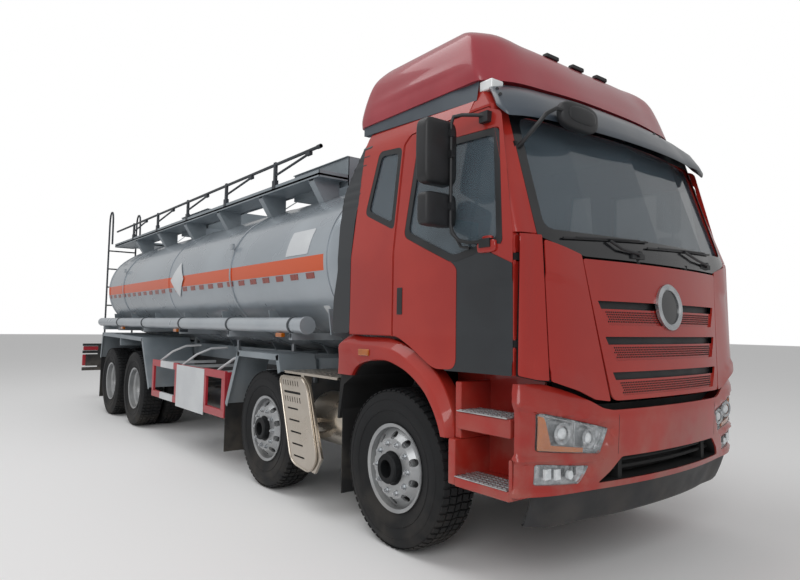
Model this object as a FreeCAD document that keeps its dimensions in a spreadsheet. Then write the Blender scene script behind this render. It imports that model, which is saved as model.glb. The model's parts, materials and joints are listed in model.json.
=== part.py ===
import FreeCAD, Part
import math
import os
import Sketcher

# Chemical tanker truck, 8x4, cab over engine. Millimetres.
# +X is forward, +Y the truck's left side, +Z up; the origin is on the ground
# under the middle of the overall box.

doc = FreeCAD.newDocument("ChemicalTanker")
sheet = doc.addObject("Spreadsheet::Sheet", "Sizes")

sizes = {
    "overall_length": 11200,
    "front_overhang": 1400,
    "wheelbase_front": 1950,
    "wheelbase_middle": 4250,
    "wheelbase_rear": 1350,
    "body_half_width": 1250,
    "cab_half_width": 1240,
    "cab_rear_x": 3740,
    "cab_skin": 45,
    "door_depth": 70,
    "door_gap": 6,
    "glass_inset": 8,
    "glass_depth": 6,
    "cab_floor_z": 1250,
    "floor_sheet": 40,
    "tyre_radius": 538,
    "tyre_half_width": 150,
    "front_track_half": 1040,
    "rear_outer_half": 1072,
    "dual_spacing": 343,
    "bead_radius": 286,
    "flange_radius": 298,
    "hub_bore_radius": 40.05,
    "spindle_clearance": 0.05,
    "kingpin_half": 900,
    "kingpin_radius": 22,
    "kingpin_clearance": 0.05,
    "beam_depth": 90,
    "rail_outer": 430,
    "rail_flange": 80,
    "rail_top": 1030,
    "rail_height": 300,
    "rail_wall": 10,
    "rail_front_x": 5250,
    "rail_rear_x": -5150,
    "arch_radius": 655,
    "liner_wall": 8,
    "bumper_bottom_z": 600,
    "lip_bottom_z": 454,
    "step_front_x": 5330,
    "step_rear_x": 4836,
    "step_bottom_z": 540,
    "step_back_y": 930,
    "tank_half_width": 1200,
    "tank_half_height": 830,
    "tank_side_radius": 640,
    "tank_centre_z": 2050,
    "tank_front_x": 3360,
    "tank_rear_x": -3760,
    "tank_dish": 150,
    "tube_radius": 68,
    "tube_z": 1500,
    "tube_y": 1182,
    "tube_front_x": 2980,
    "tube_rear_x": -4200,
    "deck_z": 2945,
    "deck_half_width": 850,
    "deck_width": 330,
    "deck_depth": 30,
    "rail_height_top": 3210,
    "rail_bar_radius": 17,
    "manhole_radius": 250,
    "manhole_wall": 12,
    "manhole_top_z": 3040,
    "lid_depth": 30,
    "outlet_bore": 40,
    "outlet_wall": 6,
    "outlet_flange_radius": 100,
    "outlet_bolt_circle": 160,
    "outlet_bolt_radius": 9,
    "hinge_pin_radius": 10,
    "hinge_clearance": 0.05,
}
for row, (name, value) in enumerate(sizes.items(), 1):
    sheet.set("A%d" % row, name)
    sheet.set("B%d" % row, str(value))
    sheet.setAlias("B%d" % row, name)
doc.recompute()


# A number that keeps the sheet expression it came from, so that each object's
# size and place stay bound to the sheet.
def text_of(value):
    return getattr(value, "text", None) or repr(round(float(value), 6))


class Size(float):
    def __new__(cls, value, text):
        item = float.__new__(cls, value)
        item.text = text
        return item

    def __add__(self, other):
        return Size(float(self) + float(other), "(%s + %s)" % (self.text, text_of(other)))

    def __radd__(self, other):
        return Size(float(other) + float(self), "(%s + %s)" % (text_of(other), self.text))

    def __sub__(self, other):
        return Size(float(self) - float(other), "(%s - %s)" % (self.text, text_of(other)))

    def __rsub__(self, other):
        return Size(float(other) - float(self), "(%s - %s)" % (text_of(other), self.text))

    def __mul__(self, other):
        return Size(float(self) * float(other), "(%s * %s)" % (self.text, text_of(other)))

    def __rmul__(self, other):
        return Size(float(other) * float(self), "(%s * %s)" % (text_of(other), self.text))

    def __truediv__(self, other):
        return Size(float(self) / float(other), "(%s / %s)" % (self.text, text_of(other)))

    def __neg__(self):
        return Size(-float(self), "(0 - %s)" % self.text)


def read(name):
    return Size(float(sheet.get(name)), "Sizes." + name)


overall_length = read("overall_length")
nose_x = overall_length / 2
tail_x = -nose_x
axle_1_x = nose_x - read("front_overhang")
axle_2_x = axle_1_x - read("wheelbase_front")
axle_3_x = axle_2_x - read("wheelbase_middle")
axle_4_x = axle_3_x - read("wheelbase_rear")
body_y = read("body_half_width")
cab_y = read("cab_half_width")
cab_rear_x = read("cab_rear_x")
cab_skin = read("cab_skin")
door_depth = read("door_depth")
door_gap = read("door_gap")
glass_inset = read("glass_inset")
glass_depth = read("glass_depth")
cab_floor_z = read("cab_floor_z")
floor_sheet = read("floor_sheet")
tyre_radius = read("tyre_radius")
tyre_half_width = read("tyre_half_width")
hub_z = tyre_radius
front_y = read("front_track_half")
rear_outer_y = read("rear_outer_half")
dual_spacing = read("dual_spacing")
rear_inner_y = rear_outer_y - dual_spacing
disc_face_y = rear_outer_y - dual_spacing / 2
bead_radius = read("bead_radius")
flange_radius = read("flange_radius")
hub_bore = read("hub_bore_radius")
spindle_radius = hub_bore - read("spindle_clearance")
kingpin_y = read("kingpin_half")
kingpin_radius = read("kingpin_radius")
kingpin_bore = kingpin_radius + read("kingpin_clearance")
beam_depth = read("beam_depth")
rail_y = read("rail_outer")
rail_flange = read("rail_flange")
rail_in_y = rail_y - rail_flange
rail_top = read("rail_top")
rail_bottom = rail_top - read("rail_height")
rail_wall = read("rail_wall")
rail_front_x = read("rail_front_x")
rail_rear_x = read("rail_rear_x")
arch_radius = read("arch_radius")
liner_wall = read("liner_wall")
bumper_bottom_z = read("bumper_bottom_z")
lip_bottom_z = read("lip_bottom_z")
step_front_x = read("step_front_x")
step_rear_x = read("step_rear_x")
step_bottom_z = read("step_bottom_z")
step_back_y = read("step_back_y")
tank_y = read("tank_half_width")
tank_h = read("tank_half_height")
tank_side_radius = read("tank_side_radius")
tank_z = read("tank_centre_z")
tank_front_x = read("tank_front_x")
tank_rear_x = read("tank_rear_x")
tank_dish = read("tank_dish")
tube_radius = read("tube_radius")
tube_z = read("tube_z")
tube_y = read("tube_y")
tube_front_x = read("tube_front_x")
tube_rear_x = read("tube_rear_x")
deck_z = read("deck_z")
deck_y = read("deck_half_width")
deck_width = read("deck_width")
deck_depth = read("deck_depth")
rail_bar_z = read("rail_height_top")
rail_bar_radius = read("rail_bar_radius")
manhole_radius = read("manhole_radius")
manhole_wall = read("manhole_wall")
manhole_top_z = read("manhole_top_z")
lid_depth = read("lid_depth")
outlet_bore = read("outlet_bore")
outlet_wall = read("outlet_wall")
outlet_flange_radius = read("outlet_flange_radius")
outlet_bolt_circle = read("outlet_bolt_circle")
outlet_bolt_radius = read("outlet_bolt_radius")
hinge_pin = read("hinge_pin_radius")
hinge_bore = hinge_pin + read("hinge_clearance")


def bind(item, name, value):
    if isinstance(value, Size):
        item.setExpression(name, value.text)
    else:
        setattr(item, name, value)


def place(item, x, y, z, rotation=None):
    turn = rotation or FreeCAD.Rotation()
    item.Placement = FreeCAD.Placement(FreeCAD.Vector(float(x), float(y), float(z)), turn)
    for axis, value in (("x", x), ("y", y), ("z", z)):
        if isinstance(value, Size):
            item.setExpression("Placement.Base." + axis, value.text)


def box(x0, x1, y0, y1, z0, z1):
    item = doc.addObject("Part::Box", "Block")
    bind(item, "Length", x1 - x0)
    bind(item, "Width", y1 - y0)
    bind(item, "Height", z1 - z0)
    place(item, x0, y0, z0)
    return item


axis_turns = {
    "x": FreeCAD.Rotation(FreeCAD.Vector(0, 1, 0), 90),
    "y": FreeCAD.Rotation(FreeCAD.Vector(1, 0, 0), -90),
    "z": FreeCAD.Rotation(),
}


def rod(axis, x, y, z, length, radius):
    item = doc.addObject("Part::Cylinder", "Rod")
    bind(item, "Radius", radius)
    bind(item, "Height", length)
    place(item, x, y, z, axis_turns[axis])
    return item


# A round bar from one point to another, for struts that run at a slant.
def strut(start, end, radius):
    first = FreeCAD.Vector(*[float(value) for value in start])
    last = FreeCAD.Vector(*[float(value) for value in end])
    run = last - first
    item = doc.addObject("Part::Cylinder", "Strut")
    bind(item, "Radius", radius)
    item.Height = run.Length
    place(item, start[0], start[1], start[2], FreeCAD.Rotation(FreeCAD.Vector(0, 0, 1), run))
    return item


def body_with_sketch(plane):
    body = doc.addObject("PartDesign::Body", "Body")
    sketch = body.newObject("Sketcher::SketchObject", "Outline")
    role = {"xy": "XY_Plane", "xz": "XZ_Plane", "yz": "YZ_Plane"}[plane]
    origin = [item for item in body.Origin.OriginFeatures if item.Role == role][0]
    sketch.AttachmentSupport = [(origin, "")]
    sketch.MapMode = "FlatFace"
    return body, sketch


def outline(sketch, table):
    points = [FreeCAD.Vector(float(a), float(b), 0) for a, b in table]
    count = len(points)
    lines = [Part.LineSegment(points[i], points[(i + 1) % count]) for i in range(count)]
    sketch.addGeometry(lines, False)
    joins = [Sketcher.Constraint("Coincident", i, 2, (i + 1) % count, 1) for i in range(count)]
    sketch.addConstraint(joins)
    for i, row in enumerate(table):
        for kind, value in (("DistanceX", row[0]), ("DistanceY", row[1])):
            index = sketch.addConstraint(Sketcher.Constraint(kind, -1, 1, i, 1, float(value)))
            if isinstance(value, Size):
                sketch.setExpression("Constraints[%d]" % index, value.text)


# A flat plate. Table rows are (x, z) for a plate lying across Y, (y, z) for one
# lying across X and (x, y) for one lying across Z; low and high are its faces.
def plate(plane, table, low, high):
    body, sketch = body_with_sketch(plane)
    outline(sketch, table)
    pad = body.newObject("PartDesign::Pad", "Pad")
    pad.Profile = sketch
    bind(pad, "Length", high - low)
    if plane == "xz":
        place(body, 0, high, 0)
    elif plane == "yz":
        place(body, low, 0, 0)
    else:
        place(body, 0, 0, low)
    return body


# A ring turned about an axle along Y. Table rows are (radius, y from the middle).
def turned(table, x, y, z):
    body, sketch = body_with_sketch("xy")
    outline(sketch, table)
    turn = body.newObject("PartDesign::Revolution", "Turn")
    turn.Profile = sketch
    turn.ReferenceAxis = (sketch, ["V_Axis"])
    turn.Angle = 360
    place(body, x, y, z)
    return body


def fuse(*items):
    if len(items) == 1:
        return items[0]
    item = doc.addObject("Part::MultiFuse", "Joined")
    item.Shapes = list(items)
    return item


def cut(base, *tools):
    item = doc.addObject("Part::Cut", "Trimmed")
    item.Base = base
    item.Tool = fuse(*tools)
    return item


def common(base, tool):
    item = doc.addObject("Part::Common", "Shared")
    item.Base = base
    item.Tool = tool
    return item


def mirrored(item):
    other = doc.addObject("Part::Mirroring", "OtherSide")
    other.Source = item
    other.Normal = FreeCAD.Vector(0, 1, 0)
    other.Base = FreeCAD.Vector(0, 0, 0)
    return other


def both(*items):
    near = fuse(*items)
    return fuse(near, mirrored(near))


def group(*items):
    item = doc.addObject("Part::Compound", "Group")
    item.Links = list(items)
    return item


def solid(name, shape):
    item = doc.addObject("Part::Feature", name)
    item.Shape = shape
    item.Placement = FreeCAD.Placement()
    return item


nodes = {}


def node(name, item):
    item.Label = name
    nodes[name] = item
    return item


# Frame: two channel rails, cross-members, spring brackets and the cab pivot.
spring_reach = 720
cross_places = (5150, 1300, 300, -700, -1350, -2675, -4000, -5090)
web = box(rail_rear_x, rail_front_x, rail_y - rail_wall, rail_y, rail_bottom, rail_top)
top_flange = box(rail_rear_x, rail_front_x, rail_in_y, rail_y, rail_top - rail_wall, rail_top)
low_flange = box(rail_rear_x, rail_front_x, rail_in_y, rail_y, rail_bottom, rail_bottom + rail_wall)
brackets = []
for axle_x in (axle_1_x, axle_2_x):
    for way in (-1, 1):
        end_x = axle_x + way * spring_reach
        brackets.append(box(end_x - 45, end_x + 45, rail_y - 70, rail_y + 30, 640, rail_bottom + 90))
        brackets.append(box(end_x - 45, end_x + 45, rail_y, rail_y + 30, rail_bottom + 40, rail_bottom + 160))
saddle_x = (axle_3_x + axle_4_x) / 2
brackets.append(box(saddle_x - 130, saddle_x + 130, rail_y, rail_y + 60, 560, rail_top - 60))
pivot_x = nose_x - 150
pivot_z = 980
brackets.append(box(rail_front_x - 60, pivot_x + 32, rail_y - 45, rail_y - 5, rail_top - 120, rail_top - 10))
crosses = []
for x in cross_places:
    crosses.append(box(x - 40, x + 40, -rail_y + rail_wall, rail_y - rail_wall, rail_bottom + 40, rail_top - 50))
hole = rod("y", pivot_x, -600, pivot_z, 1200, hinge_bore + 12)
frame = cut(fuse(both(web, top_flange, low_flange, *brackets), *crosses), hole)
node("frame", frame)

# Front axles: drop beams with kingpin bosses, and their leaf springs.
def front_axle(x):
    boss = rod("z", x, kingpin_y, hub_z - 70, 140, 46)
    bore = rod("z", x, kingpin_y, hub_z - 80, 160, kingpin_bore)
    beam = box(x - beam_depth / 2, x + beam_depth / 2, -kingpin_y, kingpin_y, hub_z - 68, hub_z - 10)
    pad = box(x - 60, x + 60, rail_y - 65, rail_y + 25, hub_z - 68, hub_z + 22)
    rows = ((-spring_reach, 612), (0, hub_z + 22), (spring_reach, 612), (spring_reach, 640),
            (spring_reach - 260, 640), (160, 648), (-160, 648), (-spring_reach + 260, 640),
            (-spring_reach, 640))
    spring = plate("xz", [(x + row[0], row[1]) for row in rows], rail_y - 60, rail_y + 20)
    return cut(fuse(beam, both(boss, pad, spring)), bore, mirrored(bore))


node("front_axles", fuse(front_axle(axle_1_x), front_axle(axle_2_x)))

# Rear axles: housings with their middle casings, spindles and one spring pack a side.
rear_parts = []
for x in (axle_3_x, axle_4_x):
    rear_parts.append(rod("y", x, -560, hub_z, 1120, 80))
    rear_parts.append(rod("x", x - 170, 0, hub_z, 340, 215))
    rear_parts.append(rod("y", x, -1010, hub_z, 2020, spindle_radius))
reach = read("wheelbase_rear") / 2
rows = ((-reach - 90, 600), (reach + 90, 600), (reach + 90, 650), (230, 715), (-230, 715), (-reach - 90, 650))
pack = plate("xz", [(saddle_x + row[0], row[1]) for row in rows], rail_y - 75, rail_y)
trunnion = rod("y", saddle_x, -rail_y + 20, 690, 2 * rail_y - 40, 40)
node("rear_axles", fuse(*rear_parts, trunnion, both(pack)))

# Steering knuckles: yoke, kingpin and wheel spindle.
def knuckle(x, side):
    arm_y = kingpin_y + 62
    top = box(x - 40, x + 40, kingpin_y - 40, arm_y + 22, hub_z + 76, hub_z + 108)
    low = box(x - 40, x + 40, kingpin_y - 40, arm_y + 22, hub_z - 108, hub_z - 76)
    back = box(x - 60, x + 60, arm_y, arm_y + 22, hub_z - 108, hub_z + 108)
    pin = rod("z", x, kingpin_y, hub_z - 120, 240, kingpin_radius)
    spindle = rod("y", x, arm_y, hub_z, 190, spindle_radius)
    item = fuse(top, low, back, pin, spindle)
    return item if side > 0 else mirrored(item)


for axle, x in ((1, axle_1_x), (2, axle_2_x)):
    node("knuckle_%d_left" % axle, knuckle(x, 1))
    node("knuckle_%d_right" % axle, knuckle(x, -1))

# Wheels. Rows are (radius, distance outward from the tyre's middle).
seat = bead_radius
tip = flange_radius
half = tyre_half_width
tyre_rows = [(seat, -110), (tip + 2, -112), (410, -half), (490, -half + 5), (tyre_radius, -half + 42),
             (tyre_radius, half - 42), (490, half - 5), (410, half), (tip + 2, 112), (seat, 110)]
barrel_out = [(tip, -127), (tip, -118), (seat, -112), (seat, -84), (258, -50), (258, 10),
              (seat, 50), (seat, 112), (tip, 118), (tip, 127), (seat - 12, 119)]
barrel_in = [(248, 12), (248, -52), (seat - 12, -88), (seat - 12, -119)]
front_disc = [(seat - 14, 76), (236, 100), (202, 136), (100, 136), (100, 122), (196, 122), (226, 88), (264, 58)]
# Rear discs are dished to one side, so that a pair clamps together on one hub face.
face = dual_spacing / 2
dished_disc = [(seat - 14, 60), (250, 40), (244, 8), (230, -40), (205, -face + 14), (150, -face + 14),
               (150, -face), (212, -face), (238, -60)]
inner_barrel = [(248, -62), (seat - 12, -92), (seat - 12, -119)]


def hand_holes(x, y, low, high, radius, pitch):
    tools = []
    for i in range(10):
        angle = math.radians(36 * i + 18)
        tools.append(rod("y", x + pitch * math.cos(angle), y + low, hub_z + pitch * math.sin(angle),
                         high - low, radius))
    return tools


def outward(rows, side):
    return [(radius, side * reach) for radius, reach in rows]


for axle, x in ((1, axle_1_x), (2, axle_2_x)):
    for name, side in (("left", 1), ("right", -1)):
        tyre = turned(outward(tyre_rows, side), x, side * front_y, hub_z)
        node("tyre_%d_%s" % (axle, name), tyre)
        rim = turned(outward(barrel_out + front_disc + barrel_in, side), x, side * front_y, hub_z)
        hub_rows = [(hub_bore, -50), (hub_bore, 118), (60, 118), (60, 190), (92, 190), (100, 178), (100, 118),
                    (205, 118), (205, 90), (188, 78), (188, -50)]
        hub = turned(outward(hub_rows, side), x, side * front_y, hub_z)
        low = 60 if side > 0 else -140
        wheel = cut(rim, *hand_holes(x, side * front_y, low, low + 80, 26, 219))
        node("rim_%d_%s" % (axle, name), fuse(wheel, hub))
for axle, x in ((3, axle_3_x), (4, axle_4_x)):
    for name, side in (("left", 1), ("right", -1)):
        tyres = []
        rims = []
        for middle, way in ((rear_outer_y, 1), (rear_inner_y, -1)):
            tyres.append(turned(outward(tyre_rows, side), x, side * middle, hub_z))
            disc = outward(barrel_out + dished_disc + inner_barrel, side * way)
            low = -170 if side * way > 0 else 20
            rims.append(cut(turned(disc, x, side * middle, hub_z),
                            *hand_holes(x, side * middle, low, low + 150, 26, 228)))
        hub_rows = [(hub_bore, -300), (hub_bore, 108), (50, 108), (50, 128), (88, 128), (96, 118), (140, 0),
                    (200, 0), (200, -14), (205, -16), (205, -330), (188, -330), (188, -30), (90, -30),
                    (90, -300)]
        hub = turned(outward([(a, b - 14) for a, b in hub_rows], side), x, side * disc_face_y, hub_z)
        node("tyre_%d_%s" % (axle, name), fuse(*tyres))
        node("rim_%d_%s" % (axle, name), fuse(*rims, hub))

# Engine, radiator, gearbox and propeller shafts as plain masses.
engine = box(3560, 4700, -330, 330, 565, 1470)
radiator = box(4790, 4900, -340, 340, 620, 1470)
fan = rod("x", 4700, 0, 1050, 90, 260)
gearbox = box(2720, 3560, -230, 230, 560, 960)
shaft = rod("x", axle_3_x + 170, 0, 640, 2720 - axle_3_x - 170, 52)
middle_shaft = rod("x", axle_4_x + 170, 0, 600, axle_3_x - axle_4_x - 340, 40)
support = box(2380, 2440, -rail_y + rail_wall, rail_y - rail_wall, rail_bottom + rail_wall, rail_bottom + 100)
hanger = box(2385, 2435, -60, 60, 640, rail_bottom + 60)
mount = box(3900, 3990, 330, rail_y - rail_wall, 760, 900)
rear_mount = box(2790, 2870, 230, rail_y - rail_wall, 760, 860)
cooler_mount = box(4800, 4860, 340, rail_y - rail_wall, 760, 860)
node("engine", fuse(engine, radiator, fan, gearbox, shaft, middle_shaft, support, hanger,
                    both(mount, rear_mount, cooler_mount)))

# Cab outer form by level. Columns: level z, rear x, half width, x where the side
# ends, corner x and y, shoulder x and y, middle x.
cab_levels = (
    (1100, 0, 0, 5360, 5432, 1150, 5548, 700, 5600),
    (2010, 0, 0, 5345, 5400, 1120, 5480, 680, 5525),
    (2860, 25, -95, 5065, 5125, 1080, 5215, 640, 5255),
    (3045, 60, -170, 4910, 4985, 980, 5080, 600, 5115),
)


def section(row, inset, z):
    rear = float(cab_rear_x) + row[1] + inset
    width = float(cab_y) + row[2] - inset
    side, corner, corner_y, shoulder, shoulder_y, middle = row[3:]
    low = inset * 0.45
    points = [(rear, width), (side - low, width), (corner - inset * 0.9, corner_y - low),
              (shoulder - inset, shoulder_y - low), (middle - inset, 0)]
    points += [(x, -y) for x, y in reversed(points[:-1])]
    ring = [FreeCAD.Vector(x, y, z) for x, y in points]
    return Part.makePolygon(ring + ring[:1])


def between(low, high, z):
    share = (z - low[0]) / (high[0] - low[0])
    return [a + share * (b - a) for a, b in zip(low, high)]


def cab_form(inset, bottom, top):
    rows = [row for row in cab_levels if bottom < row[0] < top]
    for level in (bottom, top):
        for low, high in zip(cab_levels, cab_levels[1:]):
            if low[0] <= level <= high[0]:
                rows.append(between(low, high, level))
                break
    rows.sort(key=lambda row: row[0])
    return Part.makeLoft([section(row, inset, row[0]) for row in rows], True, True)


# A straight prism across Y or X between two faces, from rows of (x, z) or (y, z).
def prism(plane, rows, low, high):
    if plane == "xz":
        ring = [FreeCAD.Vector(float(a), float(low), float(b)) for a, b in rows]
        run = FreeCAD.Vector(0, float(high) - float(low), 0)
    else:
        ring = [FreeCAD.Vector(float(low), float(a), float(b)) for a, b in rows]
        run = FreeCAD.Vector(float(high) - float(low), 0, 0)
    return Part.Face(Part.makePolygon(ring + ring[:1])).extrude(run)


def block(x0, x1, y0, y1, z0, z1):
    return Part.makeBox(float(x1) - float(x0), float(y1) - float(y0), float(z1) - float(z0),
                        FreeCAD.Vector(float(x0), float(y0), float(z0)))


# Moves each corner of an outline outward, about its own middle.
def grown(rows, gap):
    gap = float(gap)
    area = sum(a[0] * b[1] - b[0] * a[1] for a, b in zip(rows, rows[1:] + rows[:1]))
    way = 1 if area > 0 else -1
    out = []
    count = len(rows)
    for i in range(count):
        (ax, az), (bx, bz), (cx, cz) = rows[i - 1], rows[i], rows[(i + 1) % count]
        n1 = (way * (bz - az), -way * (bx - ax))
        n2 = (way * (cz - bz), -way * (cx - bx))
        d1 = math.hypot(*n1)
        d2 = math.hypot(*n2)
        n1 = (n1[0] / d1, n1[1] / d1)
        n2 = (n2[0] / d2, n2[1] / d2)
        share = 1 + n1[0] * n2[0] + n1[1] * n2[1]
        out.append((bx + gap * (n1[0] + n2[0]) / share, bz + gap * (n1[1] + n2[1]) / share))
    return out


roof_z = 3045
door_front_x = 5348
door_rear_x = 4270
door_rows = [(door_rear_x, 1440), (4600, 1405), (4790, 1335), (4930, 1262), (door_front_x, 1248),
             (door_front_x, 2030), (5180, 2790), (5060, 2838), (4340, 2838), (4275, 2780)]
# The opening stands further off along the hinge side, where the door's edge swings.
swing_rows = [(x + 6 if x == door_front_x else x, z) for x, z in door_rows]
window_rows = [(4400, 2130), (4860, 1930), (5232, 2002), (5140, 2660), (4445, 2690)]
quarter_rows = [(3905, 2345), (4215, 2215), (4215, 2745), (3995, 2765)]
screen_rows = [(-1072, 2052), (1072, 2052), (1040, 2785), (-1040, 2785)]
flap_rows = [(-800, 1915), (800, 1915), (640, 1098), (-640, 1098)]

outer = cab_form(0, 1100, roof_z)
room = cab_form(float(cab_skin), 1290, roof_z - float(cab_skin))
shell = outer.cut(room)
# The lower edge rises from the nose to the doors and again at the rear.
low_rows = [(3600, 1000), (5700, 1000), (5700, 1140), (5440, 1218), (5363, 1246), (4940, 1246),
            (4800, 1325), (4600, 1400), (4240, 1440), (3600, 1440)]
floor_cut = prism("xz", low_rows, -1400, 1400)
side_cut = floor_cut.cut(block(3500, 5372, -905, 905, 900, 1800))
sill_rows = [(3785, 1440), (4240, 1440), (4600, 1400), (4800, 1325), (4940, 1246), (5340, 1246), (5340, 1286),
             (4950, 1286), (4812, 1362), (4606, 1438), (4268, 1480), (3785, 1480)]
hump_rows = [(3785, 1250), (4940, 1250), (4940, 1286), (4812, 1362), (4606, 1438), (4268, 1480), (3785, 1480)]
rear_rows = [(3785, 1440), (4240, 1440), (4240, 1480), (3785, 1480)]
sills = [prism("xz", sill_rows, 870, 1078), prism("xz", sill_rows, -1078, -870),
         prism("xz", rear_rows, 1060, 1200), prism("xz", rear_rows, -1200, -1060),
         prism("xz", hump_rows, 870, 904), prism("xz", hump_rows, -904, -870)]
middle_cut = block(3500, 5372, -905, 905, 1000, float(cab_floor_z))
tunnel_out = block(3500, 5340, -470, 470, 1200, 1560)
tunnel = block(3500, 5300, -430, 430, 1000, 1520)
shell = shell.fuse([block(3785, 5340, -1190, 1190, float(cab_floor_z), float(cab_floor_z + floor_sheet)),
                    tunnel_out.common(cab_form(1, 1100, roof_z)),
                    block(5300, 5340, -1180, 1180, 1250, 1985)])
shell_tools = [side_cut, middle_cut, tunnel,
               prism("yz", screen_rows, 4950, 5900),
               prism("yz", grown(flap_rows, door_gap + 4), 5345, 5900),
               prism("yz", [(-1085, 1925), (1085, 1925), (1085, 2052), (-1085, 2052)], 5345, 5900),
               prism("xz", quarter_rows, -1400, 1400),
               prism("xz", grown(swing_rows, door_gap), 1080, 1400),
               prism("xz", grown(swing_rows, door_gap), -1400, -1080)]
for tool in shell_tools:
    shell = shell.cut(tool)
shell = shell.fuse(sills)
hinge_x = door_front_x - 8
hinge_y = 1228
hinge_levels = (1420, 1900)
lugs = []
bores = []
for z in hinge_levels:
    for side in (-1, 1):
        lug = block(hinge_x - 16, hinge_x + 46, side * hinge_y - 16, side * hinge_y + 16, z - 20, z + 20)
        lugs.append(lug.common(cab_form(1, 1100, roof_z)))
        bores.append(Part.makeCylinder(float(hinge_bore), 60, FreeCAD.Vector(hinge_x, side * hinge_y, z - 30)))
# Grille flap hinge: two lugs on the cowl set back under the windscreen.
flap_hinge_x = 5512
flap_hinge_z = 1930
for side in (-1, 1):
    y0 = side * 292 - 20
    lugs.append(block(5440, flap_hinge_x + 15, y0, y0 + 40, flap_hinge_z - 15, flap_hinge_z + 15))
    bores.append(Part.makeCylinder(float(hinge_bore), 80, FreeCAD.Vector(flap_hinge_x, y0 - 20, flap_hinge_z),
                                   FreeCAD.Vector(0, 1, 0)))
cowl = cab_form(58, 1300, roof_z - 60).cut(cab_form(80, 1290, roof_z - 50)).common(
    prism("yz", [(-1085, 1900), (1085, 1900), (1085, 2052), (-1085, 2052)], 5300, 5900))
ledge = cab_form(0, 1300, roof_z - 60).cut(cab_form(80, 1290, roof_z - 50)).common(
    prism("yz", [(-1085, 2030), (1085, 2030), (1085, 2052), (-1085, 2052)], 5300, 5900))
pivot_arm = []
for side in (-1, 1):
    y0 = side * 365 - 18
    arm = prism("xz", [(pivot_x - 26, pivot_z - 26), (pivot_x + 22, pivot_z - 26), (pivot_x + 22, pivot_z + 4),
                       (pivot_x - 74, 1262), (pivot_x - 136, 1262), (pivot_x - 26, pivot_z + 22)], y0, y0 + 36)
    pin = Part.makeCylinder(float(hinge_pin) + 12, 110, FreeCAD.Vector(float(pivot_x), side * 365 + (-18 if side > 0 else -92), pivot_z),
                            FreeCAD.Vector(0, 1, 0))
    pivot_arm += [arm, pin]
nose_floor = block(5320, 5484, -640, 640, float(cab_floor_z), float(cab_floor_z + floor_sheet))
shell = shell.fuse(pivot_arm + lugs + [cowl, ledge, nose_floor]).cut(bores).removeSplitter()
node("cab_shell", solid("CabShell", shell))

# Fixed glass: windscreen and quarter windows, set just inside the skin.
pane = cab_form(float(glass_inset), 1150, roof_z - 20).cut(
    cab_form(float(glass_inset + glass_depth), 1140, roof_z - 10))
screen = pane.common(prism("yz", screen_rows, 4950, 5900))
quarters = pane.common(prism("xz", quarter_rows, -1400, 1400))
node("cab_glass", solid("CabGlass", Part.makeCompound(screen.Solids + quarters.Solids)))

# Doors, each the full depth of the door, with their windows cut and their glass.
door_inner_y = cab_y - door_depth
slab = cab_form(0, 1110, roof_z - 5).cut(cab_form(float(door_depth), 1105, roof_z))
slab = slab.cut(prism("yz", [(-door_inner_y, 1100), (door_inner_y, 1100), (door_inner_y, 2010),
                             (door_inner_y - 95, 2860), (door_inner_y - 95, 3060), (95 - door_inner_y, 3060),
                             (95 - door_inner_y, 2860), (-door_inner_y, 2010)], 3700, 5700))
for name, side in (("left", 1), ("right", -1)):
    y0, y1 = (1085, 1400) if side > 0 else (-1400, -1085)
    door = slab.common(prism("xz", door_rows, y0, y1)).cut(prism("xz", window_rows, -1400, 1400))
    pins = []
    notches = []
    for z in hinge_levels:
        pins.append(Part.makeCylinder(float(hinge_pin), 90, FreeCAD.Vector(hinge_x, side * hinge_y, z - 45)))
        notches.append(block(hinge_x - 30, hinge_x + 60, side * hinge_y - 34, side * hinge_y + 34, z - 26, z + 26))
    door = door.cut(notches).fuse(pins).removeSplitter()
    node("door_" + name, solid("Door", door))
    glass = pane.common(prism("xz", window_rows, y0, y1))
    node("door_glass_" + name, solid("DoorGlass", Part.makeCompound(glass.Solids)))

# Grille flap in the nose, with its slots, hinged along its top edge.
flap_form = cab_form(0, 1100, 2000).cut(cab_form(22, 1100, 2005))
flap = flap_form.common(prism("yz", flap_rows, 5345, 5900))
slots = []
for top, low in ((1670, 1625), (1462, 1417), (1258, 1213)):
    slots.append(block(5345, 5900, -650, 650, low, top))
flap = flap.cut(slots)
hinge_parts = []
for side in (-1, 1):
    y0 = side * 246 - 20
    tab = block(flap_hinge_x - 14, flap_hinge_x + 12, y0, y0 + 40, 1880, flap_hinge_z + 12)
    hinge_parts.append(tab)
    start = side * 246 - 20 if side > 0 else side * 246 - 66
    hinge_parts.append(Part.makeCylinder(float(hinge_pin), 86, FreeCAD.Vector(flap_hinge_x, start, flap_hinge_z),
                                         FreeCAD.Vector(0, 1, 0)))
    flap = flap.cut(block(5345, 5900, side * 292 - 26, side * 292 + 26, 1893, 1925))
backing = cab_form(22, 1100, 2000).cut(cab_form(30, 1100, 2005)).common(
    prism("yz", [(-700, 1700), (700, 1700), (660, 1190), (-660, 1190)], 5345, 5900))
flap = flap.fuse([backing] + hinge_parts).removeSplitter()
node("grille_panel", solid("GrillePanel", flap))

# Roof fairing by level. Columns as the cab levels.
fairing_levels = (
    (3045, -95, -125, 4870, 4950, 1010, 5060, 600, 5100),
    (3130, -70, -120, 4800, 4890, 1000, 5010, 600, 5060),
    (3330, -50, -170, 4680, 4760, 930, 4880, 580, 4940),
    (3460, 40, -260, 4570, 4640, 850, 4730, 520, 4790),
    (3540, 260, -470, 4420, 4480, 640, 4540, 400, 4590),
)
fairing = Part.makeLoft([section(row, 0, row[0]) for row in fairing_levels], True, True)
node("roof_fairing", solid("RoofFairing", fairing))

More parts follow.
